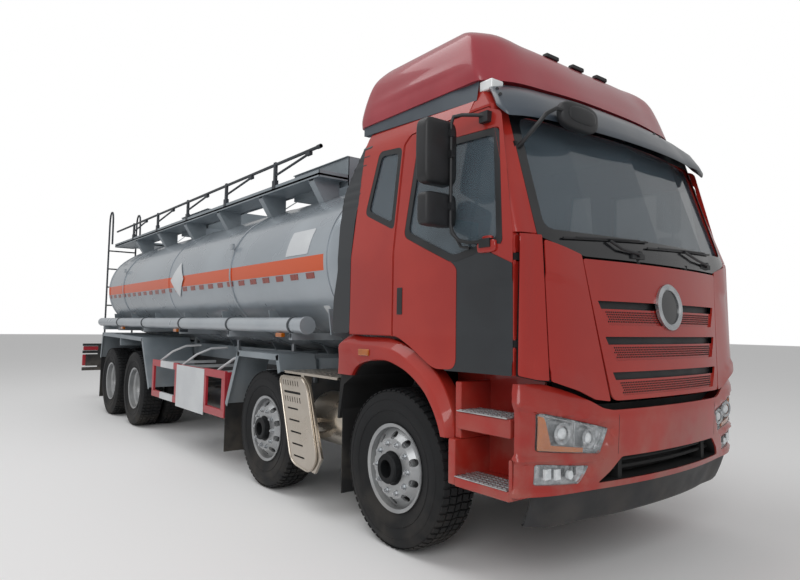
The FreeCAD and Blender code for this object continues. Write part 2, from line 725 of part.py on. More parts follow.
# Sun visor: a thin curved blade in front of the windscreen head.
visor_out = Part.makeLoft([section((2690, 0, -60, 5120, 5215, 1085, 5320, 640, 5365), 0, 2690),
                           section((2945, 0, -110, 5020, 5090, 1060, 5190, 620, 5228), 0, 2945)], True, True)
visor_in = Part.makeLoft([section((2690, 0, -60, 5120, 5215, 1085, 5320, 640, 5365), 14, 2690),
                          section((2945, 0, -110, 5020, 5090, 1060, 5190, 620, 5228), 14, 2945)], True, True)
visor = visor_out.cut(visor_in).common(block(5085, 5600, -1120, 1120, 2680, 2940))
stays = [block(5120, 5240, y - 12, y + 12, 2880, 2930) for y in (-900, -300, 300, 900)]
visor = visor.cut(cab_form(-6, 1100, roof_z)).fuse([stay.cut(outer) for stay in stays]).removeSplitter()
node("sun_visor", solid("SunVisor", visor))

# Front view mirror on its arm, over the right-hand corner of the windscreen.
head = solid("MirrorHead", block(5330, 5420, -840, -560, 2640, 2850))
arm = strut((5200, -1075, 2560), (5400, -1010, 2700), 14)
arm_two = strut((5400, -1010, 2700), (5378, -820, 2760), 14)
joint = doc.addObject("Part::Sphere", "Elbow")
joint.Radius = 14
place(joint, 5400, -1010, 2700)
foot = box(5160, 5215, -1100, -1062, 2520, 2600)
node("front_mirror", cut(fuse(head, arm, arm_two, joint, foot), solid("CabForm", outer)))

# Side mirrors: two arms from the door and two housings.
mirror_left = fuse(box(4790, 4870, 1330, 1520, 2360, 2760), box(4800, 4870, 1340, 1520, 2110, 2300),
                   rod("z", 4890, 1420, 2060, 720, 16),
                   box(4862, 4896, 1409, 1431, 2180, 2230), box(4862, 4896, 1409, 1431, 2520, 2570),
                   strut((4893, 1417, 2090), (5140, 1252, 1985), 10),
                   strut((4890, 1420, 2770), (5085, 1172, 2765), 9),
                   box(5110, 5190, cab_y, cab_y + 24, 1960, 2008), box(5060, 5110, 1163, 1190, 2742, 2788))
node("mirror_left", mirror_left)
node("mirror_right", mirrored(mirror_left))

# Cab inside: instrument panel with steering wheel and binnacle, seats and bunk.
dash_rows = [(5298, 1560), (5298, 1960), (5180, 1960), (4960, 1880), (4930, 1760), (5010, 1640), (5200, 1560)]
dash = plate("xz", dash_rows, -1150, 1150)
wheel_tilt = FreeCAD.Rotation(FreeCAD.Vector(0, 1, 0), -58)
wheel_outer = rod("z", 4790, 560, 1830, 30, 230)
wheel_inner = rod("z", 4790, 560, 1830, 30, 200)
for ring in (wheel_outer, wheel_inner):
    ring.Placement = FreeCAD.Placement(FreeCAD.Vector(4790, 560, 1830), wheel_tilt)
wheel_ring = cut(wheel_outer, wheel_inner)
spoke = strut((4790, 560, 1830), (5010, 560, 1690), 30)
bar = rod("y", 4800, 355, 1845, 410, 14)
post = fuse(wheel_ring, spoke, bar)
node("dashboard", fuse(dash, post))
seat_parts = [box(4140, 4640, 340, 860, 1560, 1690), box(4060, 4190, 340, 860, 1690, 2330),
              box(4250, 4520, 480, 740, 1290, 1560)]
node("seats", fuse(both(*seat_parts), box(3790, 3990, -1100, 1100, 1560, 1760)))

# Side deflectors closing the gap behind the cab.
deflector = plate("xy", [(3600, 1180), (3740, 1180), (3740, 1226), (3690, 1236), (3600, 1216)], 1445, 2860)
node("side_deflectors", both(deflector))

# Bumper by level. Columns as the cab levels.
bumper_levels = (
    (600, 0, 0, 5340, 5400, 1150, 5500, 700, 5560),
    (700, 0, 0, 5350, 5415, 1150, 5530, 700, 5590),
    (1000, 0, 0, 5355, 5428, 1150, 5545, 700, 5600),
    (1105, 0, 0, 5352, 5422, 1150, 5535, 700, 5590),
    (1205, 0, -40, 5330, 5385, 1110, 5470, 680, 5500),
)


def bumper_form(inset):
    rows = []
    for row in bumper_levels:
        rows.append(section((row[0], 5200 - float(cab_rear_x), row[2] + float(body_y - cab_y)) + row[3:],
                            inset, row[0]))
    return Part.makeLoft(rows, True, True)


bumper = bumper_form(0).cut(bumper_form(40).common(block(5000, 5800, -1205, 1205, 600, 1300)))
for tool in (block(5000, step_front_x + 8, -1300, 1300, 500, 1300),
             prism("yz", [(-1010, 1300), (-960, 1160), (-760, 1095), (-620, 1045), (620, 1045),
                          (760, 1095), (960, 1160), (1010, 1300)], 5000, 5800),
             prism("yz", [(-547, 777), (547, 777), (716, 640), (-716, 640)], 5300, 5800)):
    bumper = bumper.cut(tool)
headlamp_rows = [(1165, 1052), (700, 953), (800, 832), (1165, 880)]
fog_rows = [(1165, 775), (850, 748), (925, 672), (1165, 690)]
lamp_sides = []
for rows in (headlamp_rows, fog_rows):
    lamp_sides += [prism("yz", rows, 5300, 5800), prism("yz", [(-y, z) for y, z in rows], 5300, 5800)]
lamps = Part.makeCompound([])
band = bumper_form(3).cut(bumper_form(33))
lamp_solids = []
for tool in lamp_sides:
    lamp_solids += band.common(tool).Solids
for tool in lamp_sides:
    bumper = bumper.cut(tool)
beam = block(5250, 5330, -900, 900, 780, 900)
arms = []
for side in (-1, 1):
    arms.append(block(5200, 5330, side * 465 - 35, side * 465 + 35, 780, 900))
    arms.append(block(5300, 5560, side * 600 - 30, side * 600 + 30, 790, 840).common(bumper_form(5)))
bumper = bumper.fuse([beam] + arms).removeSplitter()
node("bumper", solid("Bumper", bumper))
node("lamps", solid("Lamps", Part.makeCompound(lamp_solids)))
lip_rows = ((float(lip_bottom_z), 0, -30, 5250, 5290, 1110, 5400, 690, 5470),
            (600, 0, 0, 5325, 5380, 1140, 5480, 700, 5540))


def lip_form(inset):
    rows = [section((row[0], 5200 - float(cab_rear_x), row[2]) + row[3:], inset, row[0]) for row in lip_rows]
    return Part.makeLoft(rows, True, True)


lip = lip_form(0).cut(lip_form(30)).cut(block(5000, step_front_x + 8, -1300, 1300, 400, 650))
node("bumper_lip", solid("BumperLip", lip.removeSplitter()))

# Entry steps each side: an open red box with two treads.
steps = []
y_out = body_y - 4
steps.append(box(step_rear_x, step_front_x, step_back_y, step_back_y + 15, step_bottom_z, 1110))
steps.append(box(step_rear_x + 62, step_front_x - 60, step_back_y, step_back_y + 15, 1110, 1236))
steps.append(box(step_front_x - 15, step_front_x, step_back_y, y_out, step_bottom_z, 1110))
steps.append(box(step_rear_x, step_rear_x + 15, step_back_y, y_out, step_bottom_z, 838))
steps.append(box(step_rear_x, step_front_x, step_back_y, y_out, step_bottom_z, step_bottom_z + 15))
steps.append(box(step_rear_x, step_front_x, step_back_y, y_out, 600, 625))
steps.append(box(step_rear_x, step_front_x, step_back_y, y_out - 42, 985, 1010))
steps.append(box(step_rear_x + 50, step_front_x, y_out - 42, y_out, 985, 1010))
steps.append(box(5040, 5100, rail_y, step_back_y, 880, 950))
node("steps", both(*steps))

# Front wheel arches: outer skin with a flat-sided arch, liner and bracket.
arch_rows = []
for angle in (27, 42, 57, 72, 90, 108, 123, 138):
    turn = math.radians(angle)
    arch_rows.append((axle_1_x + arch_radius * math.cos(turn), hub_z + arch_radius * math.sin(turn)))
skin_rows = arch_rows + [(3600, 1150), (3648, 1385), (3700, 1428), (4264, 1428), (4600, 1388), (4795, 1312),
                         (step_rear_x + 50, 1225), (step_rear_x + 50, 1010), (step_rear_x, 1010),
                         (step_rear_x, 838)]
skin = plate("xz", skin_rows, body_y - 45, body_y)
liner_rows = arch_rows + [(3600, 1096), (3594, 1104)]
for angle in (138, 123, 108, 90, 72, 57, 42, 27):
    turn = math.radians(angle)
    outer_radius = arch_radius + liner_wall
    liner_rows.append((axle_1_x + outer_radius * math.cos(turn), hub_z + outer_radius * math.sin(turn)))
liner = plate("xz", liner_rows, 500, body_y - 45)
stay = box(axle_1_x - 30, axle_1_x + 30, rail_y, 530, 940, hub_z + arch_radius + 4)
flap_plate = box(3594, 3606, 640, 1190, 240, 1096)
node("fenders", both(skin, liner, stay))
node("battery_box", fuse(box(2960, 3500, 560, 1160, 560, 1010), box(3040, 3100, rail_y, 560, 800, 900),
                         box(3340, 3400, rail_y, 560, 800, 900)))

# Tank: an oval barrel of four arcs with dished ends.
def oval(x, shrink):
    a = float(tank_y) - shrink
    b = float(tank_h) - shrink
    r = float(tank_side_radius) - shrink
    m = a - r
    c = (m * m - (b - r) ** 2) / (2 * (b - r))
    big = b + c
    z0 = float(tank_z)
    join = math.atan2(c, m)
    jy = m + r * math.cos(join)
    jz = r * math.sin(join)
    def point(y, z):
        return FreeCAD.Vector(float(x), y, z0 + z)
    arcs = [Part.Arc(point(jy, -jz), point(a, 0), point(jy, jz)),
            Part.Arc(point(jy, jz), point(0, b), point(-jy, jz)),
            Part.Arc(point(-jy, jz), point(-a, 0), point(-jy, -jz)),
            Part.Arc(point(-jy, -jz), point(0, -b), point(jy, -jz))]
    return Part.Wire([arc.toShape() for arc in arcs])


# Dish rows are (share of the dish depth, inset).
dish_rows = ((0, 0), (0.45, 45), (0.8, 170), (0.95, 330))


def barrel(inset):
    rear = float(tank_rear_x)
    front = float(tank_front_x)
    body = Part.Face(oval(rear, inset)).extrude(FreeCAD.Vector(front - rear, 0, 0))
    parts = [body]
    for x, way in ((front, 1), (rear, -1)):
        wires = [oval(x + way * share * float(tank_dish), inset + deep) for share, deep in dish_rows]
        parts.append(Part.makeLoft(wires, True, True))
    return parts[0].fuse(parts[1:]).removeSplitter()


tank_shape = barrel(0)
ring_places = (3300, 1390, -630, -2830, -3700)
rings = []
for x in ring_places:
    ring = Part.Face(oval(x - 25, -6)).cut(Part.Face(oval(x - 25, 8)))
    rings.append(ring.extrude(FreeCAD.Vector(50, 0, 0)))
manhole_x = (2050, -1850)
necks = []
for x in manhole_x:
    neck = Part.makeCylinder(float(manhole_radius + manhole_wall), float(manhole_top_z) - 2700,
                             FreeCAD.Vector(x, 0, 2700))
    necks.append(neck)
tank_shape = tank_shape.fuse(rings + necks)
for x in manhole_x:
    tank_shape = tank_shape.cut(Part.makeCylinder(float(manhole_radius), 400, FreeCAD.Vector(x, 0, 2800)))
# Lid hinge ears stand beside each neck.
ears = []
for x in manhole_x:
    for y in (-62, 62):
        ears.append(block(x + 296, x + 345, y - 12, y + 12, 2800, float(manhole_top_z) + 40))
lid_hinge_x = 322
lid_hinge_z = float(manhole_top_z) + 15
tank_shape = tank_shape.fuse(ears)
for x in manhole_x:
    tank_shape = tank_shape.cut(Part.makeCylinder(float(hinge_bore) + 0.0, 200,
                                                  FreeCAD.Vector(x + lid_hinge_x, -100, lid_hinge_z),
                                                  FreeCAD.Vector(0, 1, 0)))
tank_shape = tank_shape.removeSplitter()
node("tank", solid("Tank", tank_shape))

# Manhole lids with their hinge tongues and pins.
for name, x in (("front", manhole_x[0]), ("rear", manhole_x[1])):
    lid = rod("z", x, 0, manhole_top_z, lid_depth, manhole_radius + 25)
    tongue = box(x + 200, x + lid_hinge_x + 12, -46, 46, manhole_top_z, manhole_top_z + lid_depth)
    pin = rod("y", x + lid_hinge_x, -80, lid_hinge_z, 160, hinge_pin)
    handle = fuse(box(x - 80, x + 80, -10, 10, manhole_top_z + lid_depth, manhole_top_z + lid_depth + 45))
    node("manhole_lid_" + name, fuse(lid, tongue, pin, handle))

# Cradle: long bearers on the rails and saddles cut to the barrel.
bearer = box(tank_rear_x - 100, tank_front_x + 60, rail_in_y, rail_y, rail_top, 1210)
saddles = []
for x in (3240, 2150, 1000, -200, -1400, -2600, -3640):
    saddles.append(plate("yz", [(-420, 1180), (420, 1180), (525, 1335), (1090, 1425), (1120, 1640),
                                (-1120, 1640), (-1090, 1425), (-525, 1335)], x - 8, x + 8))
cradle = cut(fuse(both(bearer), *saddles), solid("TankForm", tank_shape))
node("tank_cradle", cradle)

# Hose tubes along both sides on arms from the bearers.
arms = []
for x in (2790, 1440, -40, -1590, -2910, -3900):
    arms.append(box(x - 25, x + 25, rail_y, tube_y + 40, tube_z - tube_radius - 60, tube_z - tube_radius))
    arms.append(box(x - 25, x + 25, rail_y, rail_y + 30, 1060, tube_z - tube_radius - 40))
tube = rod("x", tube_rear_x, tube_y, tube_z, tube_front_x - tube_rear_x, tube_radius)
cap = rod("x", tube_front_x, tube_y, tube_z, 34, tube_radius + 9)
hose_tubes = cut(both(tube, cap, *arms), solid("TankForm", tank_shape))
node("hose_tubes", cut(hose_tubes, solid("SaddleForm", Part.makeCompound([
    block(x - 9, x + 9, -1130, 1130, 1000, 1700) for x in (2150, -2600)]))))

# Walkway on top: two decks, cross pieces, supports, spill boxes, and the rear ladder.
deck_front_x = 2660
deck_rear_x = -4760
deck = box(deck_rear_x, deck_front_x, deck_y - deck_width, deck_y, deck_z - deck_depth, deck_z)
supports = []
for x in (2560, 1400, 200, -1000, -2200, -3500):
    supports.append(box(x - 25, x + 25, deck_y - 40, deck_y, 2400, deck_z - deck_depth))
    supports.append(box(x - 25, x + 25, deck_y - deck_width, deck_y - deck_width + 40, 2500, deck_z - deck_depth))
platform = box(deck_rear_x, -4000, deck_width - deck_y, deck_y - deck_width, deck_z - deck_depth, deck_z)
spill = []
for x in manhole_x:
    spill.append(box(x - 430, x + 430, -470, 470, 2800, deck_z + 165))
spill_room = [box(x - 424, x + 424, -464, 464, 2700, deck_z + 200) for x in manhole_x]
posts = [cut(group(support, mirrored(support)), solid("TankForm", tank_shape)) for support in supports]
decks = group(deck, mirrored(deck), platform, *posts)
spill_box = cut(fuse(*spill), *spill_room, solid("TankForm", tank_shape))
ladder = []
for y in (-1000, -520):
    ladder.append(rod("z", -4800, y, 700, 2850, 19))
    ladder.append(strut((-4800, y, 3540), (-4560, y, 3540), 17))
    ladder.append(rod("z", -4560, y, deck_z - 20, 610, 17))
for i in range(7):
    ladder.append(rod("y", -4800, -1000, 790 + 340 * i, 480, 15))
ladder.append(box(-4830, -4770, -1020, -500, 690, 730))
ladder.append(box(-4830, -4770, -560, -rail_y, 780, 840))
node("walkway", group(decks, spill_box, cut(fuse(*ladder), solid("DeckForm", block(
    -4760, 2660, -900, 900, 2900, float(deck_z))))))

# Guard rails: a folding hand rail along each side of the walkway.
bars = []
rail_posts = (1650, 330, -1000, -2350, -3700)
bars.append(rod("x", -4740, deck_y - 20, rail_bar_z, 7320, rail_bar_radius))
for x in rail_posts:
    bars.append(rod("z", x, deck_y - 20, deck_z, rail_bar_z - deck_z, rail_bar_radius))
    bars.append(strut((x, deck_y - 20, rail_bar_z), (x + 330, deck_y - 20, deck_z + 8), 12))
bars.append(rod("z", -4740, deck_y - 20, deck_z, rail_bar_z - deck_z, rail_bar_radius))
bars.append(strut((2580, deck_y - 20, rail_bar_z), (2640, deck_y - 20, deck_z + 10), rail_bar_radius))
node("guard_rail", cut(both(*bars), solid("DeckForm", block(-4760, 2660, -900, 900, 2900, float(deck_z)))))

# Mudguards: folded plates over axle 2 and over the two rear axles.
mid_rows = [(1490, 690), (1750, 1232), (2620, 1232), (2666, 1090), (2674, 1093), (2626, 1240), (1744, 1240),
            (1482, 694)]
middle_guard = plate("xz", mid_rows, 880, 1248)
rear_rows = [(-1110, 625), (-1520, 1282), (-2675, 1300), (-3830, 1312), (-3925, 900), (-3933, 902),
             (-3836, 1320), (-2675, 1308), (-1516, 1290), (-1102, 629)]
rear_guard = plate("xz", rear_rows, 570, 1248)
posts = [box(1900, 1940, rail_y, 900, 1190, 1231), box(2500, 2540, rail_y, 900, 1190, 1231),
         box(1900, 1940, rail_y, rail_y + 30, 900, 1231), box(2500, 2540, rail_y, rail_y + 30, 900, 1231),
         box(-1790, -1750, rail_y, 640, 1130, 1180), box(-3560, -3520, rail_y, 640, 1130, 1180),
         box(-1790, -1750, 600, 640, 1130, 1288), box(-3560, -3520, 600, 640, 1130, 1308),
         box(-1790, -1750, rail_y, rail_y + 30, 960, 1180), box(-3560, -3520, rail_y, rail_y + 30, 960, 1180),
         box(-2690, -2660, 650, 1248, 1140, 1303), box(-2690, -2660, rail_y, 700, 1090, 1140)]
node("mudguards", both(middle_guard, rear_guard, *posts))

# Rubber flaps behind the wheels.
flaps = [box(3590, 3600, 640, 1190, 240, 1096), box(3550, 3590, rail_y, 700, 900, 960),
         box(1470, 1480, 880, 1240, 200, 700), box(1440, 1470, rail_y, 1000, 560, 610),
         box(-3950, -3938, 600, 1230, 230, 900), box(-3950, -3900, rail_y, 700, 840, 900)]
node("mud_flaps", both(*flaps))

# Side guards between axle 2 and axle 3, with a blank plate on each.
guard = [box(-1000, 1450, 1215, 1245, 930, 1012), box(-1000, 1450, 1215, 1245, 530, 610),
         box(-1000, -930, 1215, 1245, 530, 1012), box(1380, 1450, 1215, 1245, 530, 1012),
         box(-20, 880, 1245, 1249, 500, 1000)]
guard += [box(x - 25, x + 25, rail_y, 1215, 950, 1000) for x in (-850, -320, 1300)]
guard += [box(x - 25, x + 25, 1180, 1215, 560, 1000) for x in (-850, -320, 1300)]
node("side_guards", both(*guard))

# Silencer with its slotted cover on the right, behind axle 1.
silencer = rod("x", 2980, -900, 720, 520, 215)
cover = plate("xz", [(2684, 1066), (3061, 1066), (3142, 1000), (3358, 456), (3262, 322), (2885, 356)],
              -1225, -1205)
hang = [box(3030, 3090, -900, -rail_y, 860, 930), box(3350, 3410, -900, -rail_y, 860, 930),
        box(3080, 3140, -1210, -1000, 700, 740), box(3200, 3260, -1210, -1050, 600, 640)]
deck_plate = box(2710, 3560, -1225, -600, 1085, 1100)
deck_stay = box(3200, 3260, -700, -rail_y, 1040, 1085)
node("silencer", fuse(silencer, cover, *hang, deck_plate, deck_stay,
                      box(3000, 3050, -1225, -1150, 1000, 1090)))

# Fuel tank on the left and air tanks on the right, between axles 2 and 3.
fuel = fuse(box(-150, 1180, 560, 1130, 480, 1060), box(60, 120, rail_y, 560, 760, 900),
            box(900, 960, rail_y, 560, 760, 900))
node("fuel_tank", fuel)
airs = [rod("x", 500, -1000, 640, 620, 125), rod("x", -350, -1000, 640, 620, 125),
        rod("x", 500, -700, 640, 620, 125)]
airs += [box(x - 20, x + 20, -1020, -rail_y, 745, 790) for x in (640, 980, -200, 130)]
node("air_tanks", fuse(*airs))

# Rear underrun bars, lamp plates and their carriers.
bars = [box(tail_x, tail_x + 60, -1200, 1200, 560, 620), box(tail_x, tail_x + 60, -1200, 1200, 890, 940),
        box(tail_x, tail_x + 60, -1200, 1200, 1030, 1075)]
bars += [box(tail_x + 60, rail_rear_x + 60, y - 35, y + 35, 890, 940) for y in (-465, 465)]
bars += [box(tail_x + 10, tail_x + 60, y - 30, y + 30, 560, 1075) for y in (-900, -300, 300, 900)]
bars += [box(tail_x + 60, tail_x + 90, y - 170, y + 170, 650, 870) for y in (-980, 980)]
node("rear_bumper", fuse(*bars))

# Discharge pipe at the tail with its flanged outlet and valve.
pipe_z = 1150
outlet_x = tail_x + 330
pipe = rod("x", outlet_x, 0, pipe_z, tank_rear_x - outlet_x, outlet_bore + outlet_wall)
flange = rod("x", outlet_x, 0, pipe_z, 20, outlet_flange_radius)
drop = rod("z", tank_rear_x, 0, pipe_z - outlet_bore - outlet_wall, 200, outlet_bore + outlet_wall)
valve = box(outlet_x + 180, outlet_x + 360, -85, 85, pipe_z - 85, pipe_z + 85)
stand = box(outlet_x + 200, outlet_x + 240, -rail_in_y - 20, rail_in_y + 20, rail_top, rail_top + 36)
lever = box(outlet_x + 250, outlet_x + 290, -15, 15, pipe_z + 85, pipe_z + 240)
holes = [rod("x", outlet_x - 5, 0, pipe_z, tank_rear_x - outlet_x - 40, outlet_bore)]
for i in range(8):
    angle = math.radians(45 * i + 22.5)
    holes.append(rod("x", outlet_x - 5, outlet_bolt_circle / 2 * math.cos(angle),
                     pipe_z + outlet_bolt_circle / 2 * math.sin(angle), 30, outlet_bolt_radius))
foot = box(outlet_x + 200, outlet_x + 240, -60, 60, rail_top + 36, pipe_z - 60)
node("discharge_valve", cut(fuse(pipe, flange, drop, valve, stand, lever, foot), *holes,
                            solid("TankForm", tank_shape)))

doc.recompute()
failed = [item.Name for item in doc.Objects if "Invalid" in item.State or "Error" in item.State]
for name, item in nodes.items():
    shape = item.Shape
    if shape.isNull() or not shape.isValid() or not shape.Solids:
        failed.append(name)
if failed:
    raise RuntimeError("not built: " + ", ".join(failed))
os.makedirs("parts", exist_ok=True)
for name, item in nodes.items():
    item.Shape.exportStep("parts/%s.step" % name)
print(len(nodes), "nodes written")
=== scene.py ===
import json
import math
import bpy
import bmesh
from mathutils import Matrix, Vector
from mathutils.geometry import delaunay_2d_cdt

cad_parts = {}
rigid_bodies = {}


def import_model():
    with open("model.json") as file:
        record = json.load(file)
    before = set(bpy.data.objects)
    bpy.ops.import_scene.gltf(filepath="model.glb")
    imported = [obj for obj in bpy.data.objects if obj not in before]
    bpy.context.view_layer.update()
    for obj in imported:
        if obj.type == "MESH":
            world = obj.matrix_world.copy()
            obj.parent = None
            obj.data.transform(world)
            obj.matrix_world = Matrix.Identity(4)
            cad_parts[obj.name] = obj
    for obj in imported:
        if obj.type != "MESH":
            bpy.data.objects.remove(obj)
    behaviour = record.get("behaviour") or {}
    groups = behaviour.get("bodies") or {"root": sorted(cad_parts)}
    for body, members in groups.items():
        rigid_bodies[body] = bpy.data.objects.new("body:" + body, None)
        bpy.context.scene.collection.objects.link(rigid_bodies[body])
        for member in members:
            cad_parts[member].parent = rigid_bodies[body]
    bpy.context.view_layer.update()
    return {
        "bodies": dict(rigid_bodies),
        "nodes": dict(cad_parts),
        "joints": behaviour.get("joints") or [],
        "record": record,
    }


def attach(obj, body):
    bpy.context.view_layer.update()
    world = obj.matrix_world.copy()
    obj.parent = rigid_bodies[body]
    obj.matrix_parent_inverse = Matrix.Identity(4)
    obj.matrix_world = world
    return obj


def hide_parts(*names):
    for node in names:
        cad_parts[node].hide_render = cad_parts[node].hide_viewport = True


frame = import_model()
nodes = frame["nodes"]
scene = bpy.context.scene
print("frame loaded")


# Camera at the photograph's viewing angle, floor and soft studio light.
view = {"place": (7.6065, -3.8174, 1.5088), "yaw": 37.98, "pitch": 4.28, "roll": 0.87,
        "focal": 617.03, "centreX": 396.79, "centreY": 279.63, "width": 800, "height": 580}


def setCamera():
    yaw, pitch, roll = (math.radians(view[key]) for key in ("yaw", "pitch", "roll"))
    ahead = Vector((-math.cos(yaw) * math.cos(pitch), math.sin(yaw) * math.cos(pitch), math.sin(pitch)))
    level = ahead.cross(Vector((0, 0, 1))).normalized()
    upward = level.cross(ahead)
    right = math.cos(roll) * level + math.sin(roll) * upward
    top = -math.sin(roll) * level + math.cos(roll) * upward
    lens = bpy.data.cameras.new("photoView")
    lens.sensor_width = 36
    lens.lens = view["focal"] / view["width"] * 36
    lens.shift_x = (view["width"] / 2 - view["centreX"]) / view["width"]
    lens.shift_y = (view["centreY"] - view["height"] / 2) / view["width"]
    lens.clip_end = 200
    camera = bpy.data.objects.new("photoView", lens)
    turn = Matrix((right, top, -ahead)).transposed().to_4x4()
    camera.matrix_world = Matrix.Translation(view["place"]) @ turn
    scene.collection.objects.link(camera)
    scene.camera = camera


def addSoftLight(name, place, aim, size, power):
    lamp = bpy.data.lights.new(name, "AREA")
    lamp.shape = "DISK"
    lamp.size = size
    lamp.energy = power
    item = bpy.data.objects.new(name, lamp)
    item.location = place
    item.rotation_euler = (Vector(aim) - Vector(place)).to_track_quat("-Z", "Y").to_euler()
    scene.collection.objects.link(item)


# Shader and geometry trees are written with these two.
def addNode(tree, kind, settings=None, sockets=None, outlet=0):
    made = tree.nodes.new(kind)
    for key, value in (settings or {}).items():
        if key == "stops":
            ramp = made.color_ramp.elements
            while len(ramp) < len(value):
                ramp.new(1.0)
            for stop, (position, tint) in zip(ramp, value):
                stop.position, stop.color = position, tint
        else:
            setattr(made, key, value)
    for key, value in (sockets or {}).items():
        if isinstance(value, Wire):
            tree.links.new(value.socket, made.inputs[key])
        else:
            made.inputs[key].default_value = value
    return Wire(tree, made, made.outputs[outlet] if len(made.outputs) else None)


class Wire:                      # one output socket, used like a number in plain sums
    def __init__(self, tree, made, socket):
        self.tree, self.made, self.socket = tree, made, socket

    def out(self, name):
        return Wire(self.tree, self.made, self.made.outputs[name])

    def sum(self, operation, *terms):
        return addNode(self.tree, "ShaderNodeMath", {"operation": operation}, dict(enumerate(terms)))

    def __add__(self, other):
        return self.sum("ADD", self, other)

    def __radd__(self, other):
        return self.sum("ADD", other, self)

    def __sub__(self, other):
        return self.sum("SUBTRACT", self, other)

    def __rsub__(self, other):
        return self.sum("SUBTRACT", other, self)

    def __mul__(self, other):
        return self.sum("MULTIPLY", self, other)

    def __rmul__(self, other):
        return self.sum("MULTIPLY", other, self)

    def __truediv__(self, other):
        return self.sum("DIVIDE", self, other)

    def __gt__(self, other):
        return self.sum("GREATER_THAN", self, other)

    def __lt__(self, other):
        return self.sum("LESS_THAN", self, other)

    def __abs__(self):
        return self.sum("ABSOLUTE", self)

    def __mod__(self, other):
        return self.sum("FLOORED_MODULO", self, other)

    def between(self, low, high):
        return (self > low) * (self < high)

    def ramp(self, low, high):   # 0 at low, 1 at high, smooth in the middle
        return addNode(self.tree, "ShaderNodeMapRange", {"interpolation_type": "SMOOTHSTEP"},
                       {"Value": self, "From Min": low, "From Max": high})


def tint(code):                  # a six-figure screen colour as the renderer's own
    parts = [int(code[i:i + 2], 16) / 255 for i in (0, 2, 4)]
    return tuple(p / 12.92 if p <= 0.04045 else ((p + 0.055) / 1.055) ** 2.4 for p in parts) + (1.0,)


class Finish:                    # one material with the usual variation, bump and road dust
    def __init__(self, name, first, second=None, roughness=0.5, metallic=0.0, patch=3.0, **fixed):
        self.material = bpy.data.materials.new(name)
        self.material.use_nodes = True
        self.tree = self.material.node_tree
        self.shader = self.tree.nodes["Principled BSDF"]
        self.place = addNode(self.tree, "ShaderNodeTexCoord", outlet="Object")
        apart = addNode(self.tree, "ShaderNodeSeparateXYZ", None, {0: self.place})
        self.x, self.y, self.z = (apart.out(axis) for axis in "XYZ")
        self.cloud = self.noise(patch, 4)
        self.colour = self.mix(self.cloud.ramp(0.35, 0.65), tint(first), tint(second or first))
        self.roughness = self.cloud.ramp(0.3, 0.7) * 0.12 + (roughness - 0.06)
        self.heights = []
        self.shader.inputs["Metallic"].default_value = metallic
        for key, value in fixed.items():
            self.shader.inputs[key.replace("_", " ")].default_value = value

    def node(self, kind, settings=None, sockets=None, outlet=0):
        return addNode(self.tree, kind, settings, sockets, outlet)

    def noise(self, scale, detail=2, place=None):
        return self.node("ShaderNodeTexNoise", None, {"Vector": place or self.place, "Scale": scale, "Detail": detail})

    def mix(self, factor, first, second):
        blend = self.node("ShaderNodeMix", {"data_type": "RGBA"}, {"Factor": factor})
        for key, value in ((6, first), (7, second)):
            if isinstance(value, Wire):
                self.tree.links.new(value.socket, blend.made.inputs[key])
            else:
                blend.made.inputs[key].default_value = value
        return Wire(self.tree, blend.made, blend.made.outputs[2])

    def paint(self, mask, code, roughness=None):
        self.colour = self.mix(mask, self.colour, tint(code))
        if roughness is not None:
            self.roughness = self.roughness * (1 - mask) + mask * roughness
        return self

    def grain(self, scale, depth, detail=2):
        self.heights.append(self.noise(scale, detail) * depth)
        return self

    def dust(self, low=0.25, high=1.3, amount=0.5, code="8f8578"):
        mask = self.z.ramp(high, low) * self.noise(5.0, 6).ramp(0.35, 0.7) * amount
        return self.paint(mask, code, 0.85)

    def done(self):
        self.tree.links.new(self.colour.socket, self.shader.inputs["Base Color"])
        self.tree.links.new(self.roughness.socket, self.shader.inputs["Roughness"])
        if self.heights:
            height = self.heights[0]
            for more in self.heights[1:]:
                height = height + more
            bump = self.node("ShaderNodeBump", None, {"Height": height, "Strength": 1.0, "Distance": 1.0}, "Normal")
            self.tree.links.new(bump.socket, self.shader.inputs["Normal"])
        return self.material


finishes = {}


